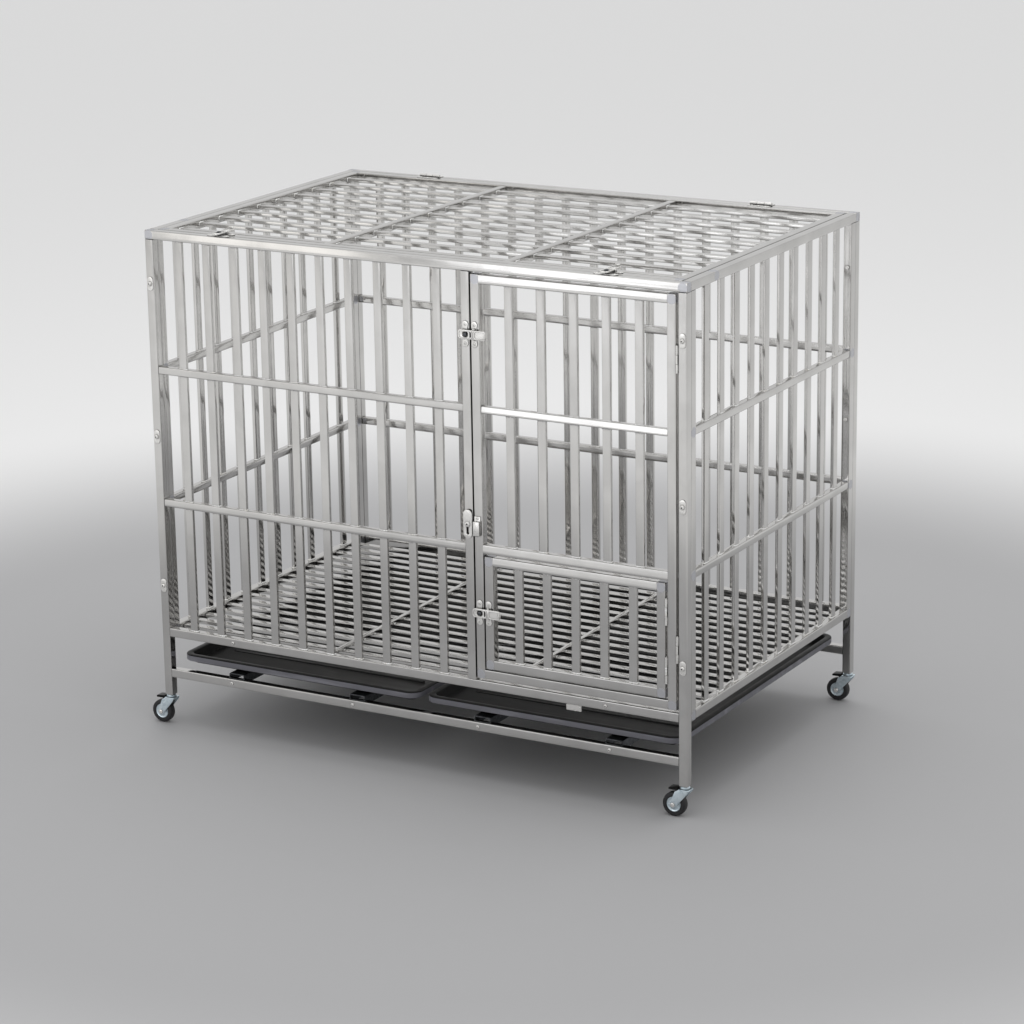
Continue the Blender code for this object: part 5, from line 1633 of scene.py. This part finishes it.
@dataclass
class RockerLatch:
    """A rocker latch: keeper, base and the plate that the thumb presses.

    The places are in the latch's own millimetres: u across the gap, v along it, w out.
    """

    finishes: Finishes
    name: str
    middle: Vector
    across: Triple
    along: Triple
    keeper_body: str
    base_body: str
    rocker_body: str
    pivot: float = 10.5
    pivot_out: float = 5.0
    plate_back: float = 5.4
    plate_thickness: float = 2.8
    plate_width: float = 19.0
    tongue_end: float = -24.0
    thumb_end: float = 40.0
    base_thickness: float = 1.5
    seat: float = 0.3
    mount_half: float = 26.0
    mount_width: float = 13.6
    waist: float = 1.4
    screw: Triple = (3.3, 1.1, 0.7)
    keeper_middle: float = -10.5
    boss_middle: float = -7.5
    boss_top: float = 9.5
    rim: float = 5.2

    @property
    def place(self) -> Matrix:
        """The latch's own frame in cage millimetres."""
        across, along = Vector(self.across), Vector(self.along)
        turn = Matrix((across, along, across.cross(along))).transposed().to_4x4()
        return Matrix.Translation(self.middle) @ turn

    def build(self) -> None:
        """Builds the three parts."""
        self.keeper()
        self.base()
        self.rocker()

    def mount(self, shape: Shape, centre: float) -> None:
        """Adds a waisted plate with a round lobe and a screw at each end.

        Args:
            shape: the shape that it is added to.
            centre: the plate's middle across the gap.
        """
        half = self.mount_half
        lobe = self.mount_width / 2
        waist = lobe - self.waist
        edge: list[Pair] = []
        edge += arc((centre, half - lobe), lobe, 0, 180, 10)
        edge += [(centre - waist, half - 2 * lobe), (centre - waist, -half + 2 * lobe)]
        edge += arc((centre, -half + lobe), lobe, 180, 360, 10)
        edge += [(centre + waist, -half + 2 * lobe), (centre + waist, half - 2 * lobe)]
        lift = moved(0, 0, self.seat + self.base_thickness / 2)
        shape.plate([edge], self.base_thickness, self.place @ lift, 0.35)
        for v in (-half + lobe, half - lobe):
            spot = moved(centre, v, self.seat + self.base_thickness - 0.1)
            shape.socket_head(self.place @ spot, *self.screw)

    def keeper(self) -> None:
        """Builds the plate and the boss that the rocker's hole closes over."""
        shape = Shape((self.finishes.latch, self.finishes.shade_dark_zinc))
        self.mount(shape, self.keeper_middle)
        top = self.boss_top
        profile = [(4.0, 1.3), (4.0, top - 1.3), (3.6, top - 0.5), (2.9, top), (1.6, top), (1.3, top - 0.7)]
        # Painted shade: the boss takes the near-black zinc, dark as the shade inside the rocker's hole.
        shape.lathe(profile, self.place @ moved(self.boss_middle, 0, 0), 32, 1)
        shape.piece(f"{self.name}_strike", self.keeper_body, Slot.LATCH, [f"{self.name}_keeper"])

    def base(self) -> None:
        """Builds the plate with its two ears and the pin between them."""
        shape = Shape((self.finishes.latch,))
        self.mount(shape, self.pivot - self.seat)
        inner = self.plate_width / 2 + 0.4
        for side in (-1.0, 1.0):
            ear = [(-2.7, self.seat + 1.0), (2.7, self.seat + 1.0)]
            ear += arc((0.0, self.pivot_out), 2.7, 0, 180, 10)
            spot = moved(self.pivot, side * (inner + 1.0), 0) @ TURN_X
            shape.plate([ear], 1.9, self.place @ spot, 0.35)
        reach = inner + 1.6
        pin = [(1.5, -reach), (1.5, reach)]
        spot = moved(self.pivot, 0, self.pivot_out) @ TURN_X
        shape.lathe(pin, self.place @ spot, 20)
        for side in (-1.0, 1.0):
            rivet = [(2.0, 0.0), (2.0, 0.2), (1.3, 0.35)]
            flip = Matrix.Rotation(math.radians(-90 * side), 4, "X")
            spot = moved(self.pivot, side * (inner + 1.9), self.pivot_out) @ flip
            shape.lathe(rivet, self.place @ spot, 16)
        shape.piece(f"{self.name}_mount", self.base_body, Slot.LATCH, [f"{self.name}_base"])

    def rocker(self) -> None:
        """Builds the pressed plate: rim, hole over the boss, slot, thumb dish and lip."""
        shape = Shape((self.finishes.latch,))
        length = self.thumb_end - self.tongue_end
        middle = (self.thumb_end + self.tongue_end) / 2
        front = self.plate_back + self.plate_thickness
        edge = rounded_rectangle((middle, 0.0), (length, self.plate_width), 6.8, 8)
        hole = rounded_rectangle((self.boss_middle, 0.0), (13.0, 11.0), 4.2, 6)
        slot = rounded_rectangle((4.0, 0.0), (3.0, 12.5), 1.3, 4)
        sheet = self.plate_thickness - 1.1
        lift = moved(0, 0, self.plate_back + sheet / 2)
        shape.plate([edge, hole, slot], sheet, self.place @ lift, 0.35)
        raised = moved(0, 0, self.plate_back + self.plate_thickness / 2 + 0.2)
        width, radius = 18.6, 6.6
        for rim_middle, rim_length in ((self.boss_middle, 32.6), (25.6, 28.4)):
            centre = (rim_middle, 0.0)
            outer = rounded_rectangle(centre, (rim_length, width), radius, 8)
            inner = rounded_rectangle(centre, (rim_length - self.rim, width - self.rim), radius - 2.2, 6)
            shape.plate([outer, inner], self.plate_thickness - 0.5, self.place @ raised, 0.7)
        reach = self.plate_width / 2 - 0.05
        ring = [(1.9, -reach), (2.6, -reach), (2.75, -reach + 0.3)]
        ring += [(2.75, reach - 0.3), (2.6, reach), (1.9, reach)]
        spot = moved(self.pivot, 0, self.pivot_out) @ TURN_X
        shape.lathe(ring, self.place @ spot, 28, 0, closed=True)
        low = (self.thumb_end - 2.4, -5.6, front - 1.2)
        high = (self.thumb_end - 0.4, 5.6, front + 3.4)
        shape.block(low, high, 0.8, self.place)
        shape.piece(f"{self.name}_lever", self.rocker_body, Slot.LATCH, [f"{self.name}_rocker"])


# Turn button

@dataclass
class TurnButton:
    """The button on the centre post and the hook on the door that it turns into."""

    finishes: Finishes
    height: float = 478.0
    length: float = 59.0
    width: float = 20.0
    back: float = 3.0
    thickness: float = 2.5
    catch_width: float = 14.0
    catch_below: float = 23.0
    catch_leg: float = 40.0
    catch_lip: float = 30.0
    catch_screw: float = 36.3
    wall: float = 1.5
    slot: Pair = (6.4, 18.0)

    def build(self) -> None:
        """Builds the button and its catch."""
        self.button()
        self.catch()

    def button(self) -> None:
        """Builds the oblong plate with its hub, stem and domed screw."""
        shape = Shape((self.finishes.latch,))
        x = CAGE.centre_post + CAGE.half
        edge = rounded_rectangle((0.0, 0.0), (self.width, self.length), self.width / 2 - 0.3, 12)
        slot = rounded_rectangle((0.0, 2.0 - self.length / 4), self.slot, self.slot[0] / 2 - 0.2, 8)
        middle = (x, -self.back - self.thickness / 2, self.height)
        shape.plate([edge, slot], self.thickness, upright(middle), 0.7)
        front = facing((x, 0.0, self.height), Face.FRONT)
        shape.lathe([(2.9, -11.8), (2.9, 0.3), (5.6, 0.3), (5.9, 0.6), (5.9, self.back + 0.4)], front, 28)
        seat = facing((x, -self.back - self.thickness, self.height), Face.FRONT)
        shape.socket_head(seat, 5.9, 2.9, 0.6)
        shape.piece("turn_button_plate", "turn_button", Slot.LATCH, ["turn_button"])

    def catch(self) -> None:
        """Builds the bent hook with its screw."""
        shape = Shape((self.finishes.latch,))
        left = CAGE.door_left + 1.0
        right = left + self.catch_width
        bottom = self.height - self.catch_below
        base = -0.3 - self.wall
        lip_back = -self.back - self.thickness - 0.7
        lip_front = lip_back - self.wall
        shape.block((left, base, bottom), (right, -0.3, bottom + self.catch_leg), 0.4)
        shape.block((left, lip_front, bottom), (right, base + 0.6, bottom + self.wall), 0.4)
        shape.block((left, lip_front, bottom), (right, lip_back, bottom + self.catch_lip), 0.4)
        seat = facing(((left + right) / 2, base, bottom + self.catch_screw), Face.FRONT)
        shape.socket_head(seat, 3.3, 1.0, 0.7)
        shape.piece("turn_button_hook", "main_door", Slot.LATCH, ["turn_button_catch"])


# Trays

@dataclass
class TrayRunner:
    """A folded channel that the trays slide on."""

    finishes: Finishes
    number: int
    x: float
    width: float = 38.0
    leg: float = 20.0
    wall: float = 2.0
    bend: float = 2.6

    def build(self) -> None:
        """Builds the channel as one folded section drawn from front to back."""
        # Painted shade: the runners take the near-black zinc, standing in for the shade under the trays.
        shape = Shape((self.finishes.shade_dark_zinc,))
        half = self.width / 2
        top = CAGE.runner_top
        bend = self.bend
        outer = [(-half, top - self.leg), *arc((-half + bend, top - bend), bend, 180, 90, 5)]
        outer += [*arc((half - bend, top - bend), bend, 90, 0, 5), (half, top - self.leg)]
        inner_bend = bend - self.wall
        inner = [(half - self.wall, top - self.leg), *arc((half - bend, top - bend), inner_bend, 0, 90, 5)]
        inner += arc((-half + bend, top - bend), inner_bend, 90, 180, 5)
        inner.append((-half + self.wall, top - self.leg))
        rings = []
        for y in CAGE.clear_y:
            rings.append([shape.bm.verts.new((self.x + u, y, z)) for u, z in outer + inner])
        shape.band(rings[0], rings[1])
        for ring in rings:
            for index in range(len(outer) - 1):
                shape.bm.faces.new((ring[index], ring[index + 1], ring[-2 - index], ring[-1 - index]))
        shape.piece(f"tray_channel_{self.number}", "root", Slot.ZINC, [f"tray_runner_{self.number}"], 25.0)


@dataclass
class Tray:
    """A shallow moulded tray with a flange, a turned-down lip and shallow floor ribs."""

    finishes: Finishes
    side: str
    left: float
    right: float
    wall: float = 2.5
    height: float = 22.0
    flange: float = 14.0
    slope: float = 6.0
    lip: float = 13.0
    corner: float = 14.0
    steps: int = 10
    lip_bands: tuple[int, int] = (8, 9)
    front_gap: float = 5.0
    back_gap: float = 11.0
    rib_count: int = 5
    rib_width: float = 10.0
    rib_rise: float = 1.2
    rib_short: float = 70.0

    def levels(self) -> list[Triple]:
        """Works out the loops that the tray is drawn from, from its well over the rim to its underside.

        Returns:
            Inset, corner radius and height of each loop.
        """
        base = CAGE.runner_top + CAGE.seat
        rim = base + self.height
        floor = base + self.wall
        outer_corner = self.corner + self.flange
        mouth = self.flange
        well = self.flange + self.slope
        well_corner = self.corner - self.slope
        skin = self.wall
        upper = [
            (0.4, outer_corner, rim - self.lip), (0.0, outer_corner, rim - self.lip + 0.6),
            (0.0, outer_corner, rim - 1.6), (0.5, outer_corner - 0.5, rim - 0.5),
            (1.6, outer_corner - 1.6, rim), (mouth - 1.2, self.corner + 1.2, rim),
            (mouth + 0.3, self.corner - 0.3, rim - 0.8), (mouth + 1.2, self.corner - 1.2, rim - 2.6),
            (well - 1.4, well_corner + 1.4, floor + 3.4), (well + 0.2, well_corner, floor + 0.9),
            (well + 2.6, well_corner - 2.0, floor),
        ]
        lower = [
            (well + 3.0, well_corner - 2.0, base), (well + 0.2, well_corner, base),
            (well - 2.4, self.corner - 3.0, base + 1.6), (mouth - 1.6, self.corner, rim - skin - 1.6),
            (mouth - 2.4, self.corner + 2.0, rim - skin), (skin + 0.6, outer_corner - skin, rim - skin),
            (skin, outer_corner - skin, rim - skin - 0.6), (skin, outer_corner - skin, rim - self.lip + 0.6),
            (skin - 0.4, outer_corner - skin, rim - self.lip),
        ]
        return upper[::-1] + lower[::-1]

    def build(self) -> None:
        """Builds the tray as nested loops, with ribs raised along its floor."""
        shape = Shape((self.finishes.plastic, self.finishes.lip))
        front = CAGE.tube + self.front_gap
        back = CAGE.depth - CAGE.tube - self.back_gap
        centre = ((self.left + self.right) / 2, (front + back) / 2)
        size = (self.right - self.left, back - front)
        loops = []
        for inset, radius, z in self.levels():
            points = rounded_rectangle(centre, (size[0] - 2 * inset, size[1] - 2 * inset), radius, self.steps)
            loops.append([shape.bm.verts.new((x, y, z)) for x, y in points])
        for number, (inner, outer) in enumerate(zip(loops, loops[1:])):
            # The lip's outer face takes the lighter grey plastic, a painted reflection.
            shape.band(inner, outer, 1 if number in self.lip_bands else 0)
        shape.bm.faces.new(loops[0])
        shape.bm.faces.new(loops[-1])
        self.ribs(shape, centre, size)
        body = f"tray_{self.side}"
        shape.piece(f"{body}_moulding", body, Slot.PLASTIC, [body], 30.0)

    def ribs(self, shape: Shape, centre: Pair, size: Pair) -> None:
        """Adds low ribs that stiffen the floor.

        Args:
            shape: the tray's shape.
            centre: the tray's middle in x and y.
            size: the tray's two sides.
        """
        floor = CAGE.runner_top + CAGE.seat + self.wall
        length = size[0] - 2 * (self.flange + self.slope) - self.rib_short
        front, back = centre[1] - size[1] / 2, centre[1] + size[1] / 2
        half = self.rib_width / 2
        for y in even_places(front, back, self.rib_count, self.rib_width):
            low = (centre[0] - length / 2, y - half, floor - 1.0)
            shape.block(low, (centre[0] + length / 2, y + half, floor + self.rib_rise), 1.0)


# Casters

@dataclass
class Caster:
    """A swivel caster under a corner post: stem, fork, wheel and brake pedal.

    The places are in millimetres from the middle of the post's lower end.
    """

    finishes: Finishes
    corner: str
    x: float
    y: float
    trail: float = 22.0
    axle: float = -41.0
    wheel_radius: float = 25.0
    wheel_width: float = 17.0
    fork_top: float = -6.5
    plate: float = 3.0
    inner: float = 10.0
    wall: float = 2.0
    brake_x: float = -14.0
    brake_z: float = -13.0
    disc: tuple[Pair, ...] = (
        (3.3, 2.6), (3.3, 0.5), (6.4, 0.5), (7.4, 1.3), (13.4, 1.6), (14.6, 0.8), (15.3, 1.1), (15.3, 2.6),
    )

    @property
    def place(self) -> Matrix:
        """The caster's place in cage millimetres."""
        return moved(self.x, self.y, 0)

    def hand_over(self, shape: Shape, name: str, part: str, slot: Slot) -> None:
        """Hands over a moving part, whose body and CAD node have one name."""
        body = f"{self.corner}_caster_{part}"
        shape.piece(f"{self.corner}_{name}", body, slot, [body])

    def build(self) -> None:
        """Builds the four parts."""
        self.stem()
        self.fork()
        self.wheel()
        self.brake()

    def stem(self) -> None:
        """Builds the square plug, the ball race's collar and the rivet."""
        shape = Shape((self.finishes.zinc,))
        shape.block((-5.9, -5.9, -0.6), (5.9, 5.9, 23.8), 0.8, self.place)
        top = self.fork_top
        under = top - self.plate
        profile = [(4.9, under - 2.6), (7.2, under - 2.3), (7.9, under - 1.2)]
        profile += [(7.4, under - 0.35), (4.9, under - 0.35)]
        profile += [(4.9, top + 0.4), (10.0, top + 0.5), (10.4, top + 1.2)]
        profile += [(10.4, -3.4), (9.4, -2.2), (8.6, -0.7), (8.2, -0.35)]
        shape.lathe(profile, self.place, 36)
        shape.piece(f"{self.corner}_stem", "root", Slot.ZINC, [f"{self.corner}_caster_stem"])

    def cheek(self) -> list[Pair]:
        """Draws a cheek from the side, with its round nose about the axle.

        Returns:
            Points of x and z.
        """
        top = self.fork_top - 1.5
        knee = self.fork_top - 6.0
        points = arc((-self.trail, self.axle), 6.9, 150, 330, 12)
        points += [(10.8, knee), (10.8, top), (-10.7, top), (-17.9, knee)]
        return points

    def fork(self) -> None:
        """Builds the pressed fork with its axle bolt and nut."""
        shape = Shape((self.finishes.zinc, self.finishes.latch))
        outer = self.inner + self.wall
        under = self.fork_top - self.plate
        hole = arc((0.0, 0.0), 5.3, 0, 350, 35)
        edge = rounded_rectangle((1.0, 0.0), (23.8, 2 * outer - 0.1), 3.0, 6)
        lift = moved(0, 0, (self.fork_top + under) / 2)
        shape.plate([edge, hole], self.plate, self.place @ lift, 0.7)
        for side in (-1.0, 1.0):
            spot = moved(0, side * (outer - self.wall / 2 - 0.1), 0) @ TURN_X
            shape.plate([self.cheek()], self.wall - 0.1, self.place @ spot, 0.5)
        for x, z, radius in ((-self.trail, self.axle, 2.9), (self.brake_x, self.brake_z, 1.45)):
            spot = moved(x, 0, z) @ TURN_X
            shape.lathe([(radius, -outer + 0.6), (radius, outer - 0.6)], self.place @ spot, 20, 1)
        for side, sides in ((-1.0, 28), (1.0, 6)):
            flip = Matrix.Rotation(math.radians(-90 * side), 4, "X")
            spot = moved(-self.trail, side * (outer - 0.2), self.axle) @ flip
            shape.lathe([(4.8, 0.0), (4.8, 1.2), (4.0, 1.8), (2.2, 2.1)], self.place @ spot, sides, 1)
        self.hand_over(shape, "fork", "fork", Slot.ZINC)

    def wheel(self) -> None:
        """Builds the tyre with its dished sides and the two metal hub discs."""
        shape = Shape((self.finishes.rubber, self.finishes.zinc))
        half = self.wheel_width / 2
        radius = self.wheel_radius
        upper = [(3.3, half - 2.4), (15.4, half - 2.4), (15.8, half - 2.2), (16.4, half - 0.6)]
        upper += [(17.0, half - 0.1), (21.2, half - 0.1), (23.2, half - 0.7), (24.3, half - 2.0)]
        upper += [(radius - 0.25, half - 4.0), (radius, 0.8)]
        profile = upper + [(spot, -rise) for spot, rise in reversed(upper)]
        across = moved(-self.trail, 0, self.axle) @ TURN_X
        shape.lathe(profile, self.place @ across, 72, 0, closed=True)
        for side in (-1.0, 1.0):
            disc = [(spot, side * (half - drop)) for spot, drop in self.disc]
            shape.lathe(disc, self.place @ across, 56, 1, closed=True)
        self.hand_over(shape, "wheel_and_tyre", "wheel", Slot.RUBBER)

    def brake(self) -> None:
        """Builds the pedal that hinges over the wheel."""
        shape = Shape((self.finishes.plastic,))
        x, z = self.brake_x, self.brake_z
        far = x - 19.0
        near = -11.6
        top = z + 9.0
        under = z + 2.9
        edge = arc((x, z), 3.4, 180, 400, 14)
        edge += [(near, z + 3.4), (near, top - 1.6), (near - 1.6, top)]
        edge += [(far + 1.8, top - 1.4), (far, top - 3.0), (far, under), (x - 3.4, under)]
        hole = arc((x, z), 1.8, 0, 340, 17)
        shape.plate([edge, hole], 18.0, self.place @ TURN_X, 0.7)
        self.hand_over(shape, "pedal", "brake", Slot.PLASTIC)


# Studio

@dataclass
class Lamp:
    """One soft area light."""

    name: str
    place: Triple
    aim: Triple
    size: Pair
    power: float
    colour: Colour = (1.0, 1.0, 1.0)

    def build(self) -> None:
        """Adds the light, turned towards its aim."""
        data = bpy.data.lights.new(self.name, "AREA")
        data.shape = "RECTANGLE"
        data.size, data.size_y = self.size
        data.energy = self.power
        data.color = self.colour
        lamp = bpy.data.objects.new(self.name, data)
        lamp.location = self.place
        lamp.rotation_euler = (Vector(self.aim) - Vector(self.place)).to_track_quat("-Z", "Y").to_euler()
        bpy.context.scene.collection.objects.link(lamp)


@dataclass
class Studio:
    """Floor, world, lamps and camera."""

    camera_place: Triple = (3.3804, -5.87465, 2.3606)
    azimuth: float = 29.72
    elevation: float = 15.77
    roll: float = -0.89
    lens: float = 116.4
    floor_size: float = 40.0
    near_floor: Colour = (0.45, 0.45, 0.457)
    far_floor: Colour = (0.93, 0.93, 0.93)
    paling: Pair = (1.5, 2.8)
    room_light: float = 0.75
    backdrop: Colour = (0.72, 0.72, 0.72)
    warm: Colour = (1.0, 0.97, 0.925)
    cool: Colour = (0.96, 0.97, 1.0)

    def build(self) -> None:
        """Builds the studio round the object."""
        self.floor()
        self.world()
        self.camera()
        for lamp in self.lamps():
            lamp.build()
        bpy.context.scene.view_settings.view_transform = "Standard"

    def lamps(self) -> list[Lamp]:
        """The soft boxes: two low ones in front and one overhead."""
        return [
            Lamp("left_softbox", (-3.2, -4.7, 1.16), (-3.2, 0.0, 1.16), (0.9, 2.1), 4.6, self.warm),
            Lamp("front_softbox", (-1.5, -4.7, 1.16), (-1.5, 0.0, 1.16), (1.8, 2.1), 14.0, self.cool),
            Lamp("overhead_softbox", (0.2, 0.3, 4.4), (0.0, 0.0, 0.0), (4.4, 3.4), 52.0),
        ]

    def floor(self) -> None:
        """Adds the plain floor, grey near the object and pale behind it."""
        half = self.floor_size / 2
        mesh = bpy.data.meshes.new("floor")
        corners = [(-half, -half, 0), (half, -half, 0), (half, half, 0), (-half, half, 0)]
        mesh.from_pydata(corners, [], [(0, 1, 2, 3)])
        floor = bpy.data.objects.new("floor", mesh)
        bpy.context.scene.collection.objects.link(floor)
        graph = Graph.material("pale_floor")
        distance = graph.node("VectorMath", {0: graph.place()}, operation="LENGTH").outputs["Value"]
        paling = graph.node("MapRange", {0: distance, 1: self.paling[0], 2: self.paling[1]})
        paling.interpolation_type = "SMOOTHSTEP"
        seen = graph.mixed(paling.outputs[0], self.near_floor, self.far_floor)
        graph.wire(Base_Color=seen, Roughness=0.6, Specular_IOR_Level=0.2)
        mesh.materials.append(graph.owner)

    def world(self) -> None:
        """Sets the soft room light and the plain backdrop, which the metal shows too."""
        world = bpy.data.worlds.new("studio")
        bpy.context.scene.world = world
        graph = Graph(world)
        graph.tree.nodes.clear()
        level = (self.room_light, self.room_light, self.room_light, 1.0)
        soft = graph.node("Background", {"Color": level}).outputs[0]
        seen = graph.node("Background", {"Color": (*self.backdrop, 1.0)}).outputs[0]
        path = graph.node("LightPath")
        mirrored = graph.maths("MAXIMUM", path.outputs["Is Glossy Ray"], path.outputs["Is Transmission Ray"])
        shown = graph.maths("MAXIMUM", path.outputs["Is Camera Ray"], mirrored)
        whole = graph.node("MixShader", {0: shown, 1: soft, 2: seen}).outputs[0]
        graph.node("OutputWorld", {"Surface": whole})

    def camera(self) -> None:
        """Adds the camera at the photograph's place and angle."""
        angles = (self.azimuth, self.elevation, self.roll)
        azimuth, elevation, roll = (math.radians(angle) for angle in angles)
        flat = math.cos(elevation)
        forward = Vector((-math.sin(azimuth) * flat, math.cos(azimuth) * flat, -math.sin(elevation)))
        level = Vector((math.cos(azimuth), math.sin(azimuth), 0))
        above = level.cross(forward)
        right = math.cos(roll) * level + math.sin(roll) * above
        up = -math.sin(roll) * level + math.cos(roll) * above
        data = bpy.data.cameras.new("camera")
        data.lens = self.lens
        data.sensor_width = 36.0
        data.clip_end = 100.0
        camera = bpy.data.objects.new("camera", data)
        turn = Matrix((right, up, -forward)).transposed().to_4x4()
        camera.matrix_world = Matrix.Translation(self.camera_place) @ turn
        bpy.context.scene.collection.objects.link(camera)
        bpy.context.scene.camera = camera


MAIN_LATCH_HEIGHT = 866.0
LID_LATCH_SETBACK = 178.0


def latches(finishes: Finishes) -> list[RockerLatch]:
    """Places the four rocker latches: main door, small door and two on the lid.

    Args:
        finishes: the built materials.

    Returns:
        The latches.
    """
    right, up = (1.0, 0.0, 0.0), (0.0, 0.0, 1.0)
    back, left = (0.0, 1.0, 0.0), (-1.0, 0.0, 0.0)
    main_place = (CAGE.centre_post + CAGE.tube + MAIN_GAP / 2, 0, MAIN_LATCH_HEIGHT)
    small_place = (CAGE.small_left - SMALL_GAP / 2, 0, SMALL_MIDDLE)
    lid_y = CAGE.tube + LID_GAP / 2
    lid_left = (LID_LATCH_SETBACK, lid_y, CAGE.height)
    lid_right = (CAGE.width - LID_LATCH_SETBACK, lid_y, CAGE.height)
    rows = [
        ("main_latch", main_place, right, up, "root", "main_door"),
        ("small_latch", small_place, right, up, "main_door", "small_door"),
        ("lid_latch_left", lid_left, back, left, "root", "roof_lid"),
        ("lid_latch_right", lid_right, back, left, "root", "roof_lid"),
    ]
    return [
        RockerLatch(finishes, name, Vector(gap), across, along, keeper, base, f"{name}_rocker")
        for name, gap, across, along, keeper, base in rows
    ]


def casters(finishes: Finishes) -> list[Caster]:
    """Places the four casters, one under each post.

    Args:
        finishes: the built materials.

    Returns:
        The casters.
    """
    near = CAGE.half
    far_x, far_y = CAGE.width - near, CAGE.depth - near
    corners = {
        "front_left": (near, near), "front_right": (far_x, near),
        "back_left": (near, far_y), "back_right": (far_x, far_y),
    }
    return [Caster(finishes, corner, x, y) for corner, (x, y) in corners.items()]


def main() -> None:
    """Builds every sub-assembly and the studio."""
    logging.basicConfig(level=logging.INFO, format="%(message)s")
    finishes = Finishes()
    edge = CAGE.tube + TRAY_SIDE_GAP
    middle = CAGE.width / 2
    assemblies = [
        FrontFrame(finishes),
        BackFrame(finishes),
        SidePanel(finishes, "left_side_panel", 0.0),
        SidePanel(finishes, "right_side_panel", CAGE.width - CAGE.tube),
        FloorGrid(finishes),
        MainDoor(finishes),
        SmallDoor(finishes),
        RoofLid(finishes),
        *latches(finishes),
        TurnButton(finishes),
        *(TrayRunner(finishes, number, x) for number, x in enumerate(CAGE.runner_centres, 1)),
        Tray(finishes, "left", edge, middle - TRAY_PARTING / 2),
        Tray(finishes, "right", middle + TRAY_PARTING / 2, CAGE.width - edge),
        *casters(finishes),
        Studio(),
    ]
    for assembly in assemblies:
        assembly.build()


if __name__ == "__main__":
    main()
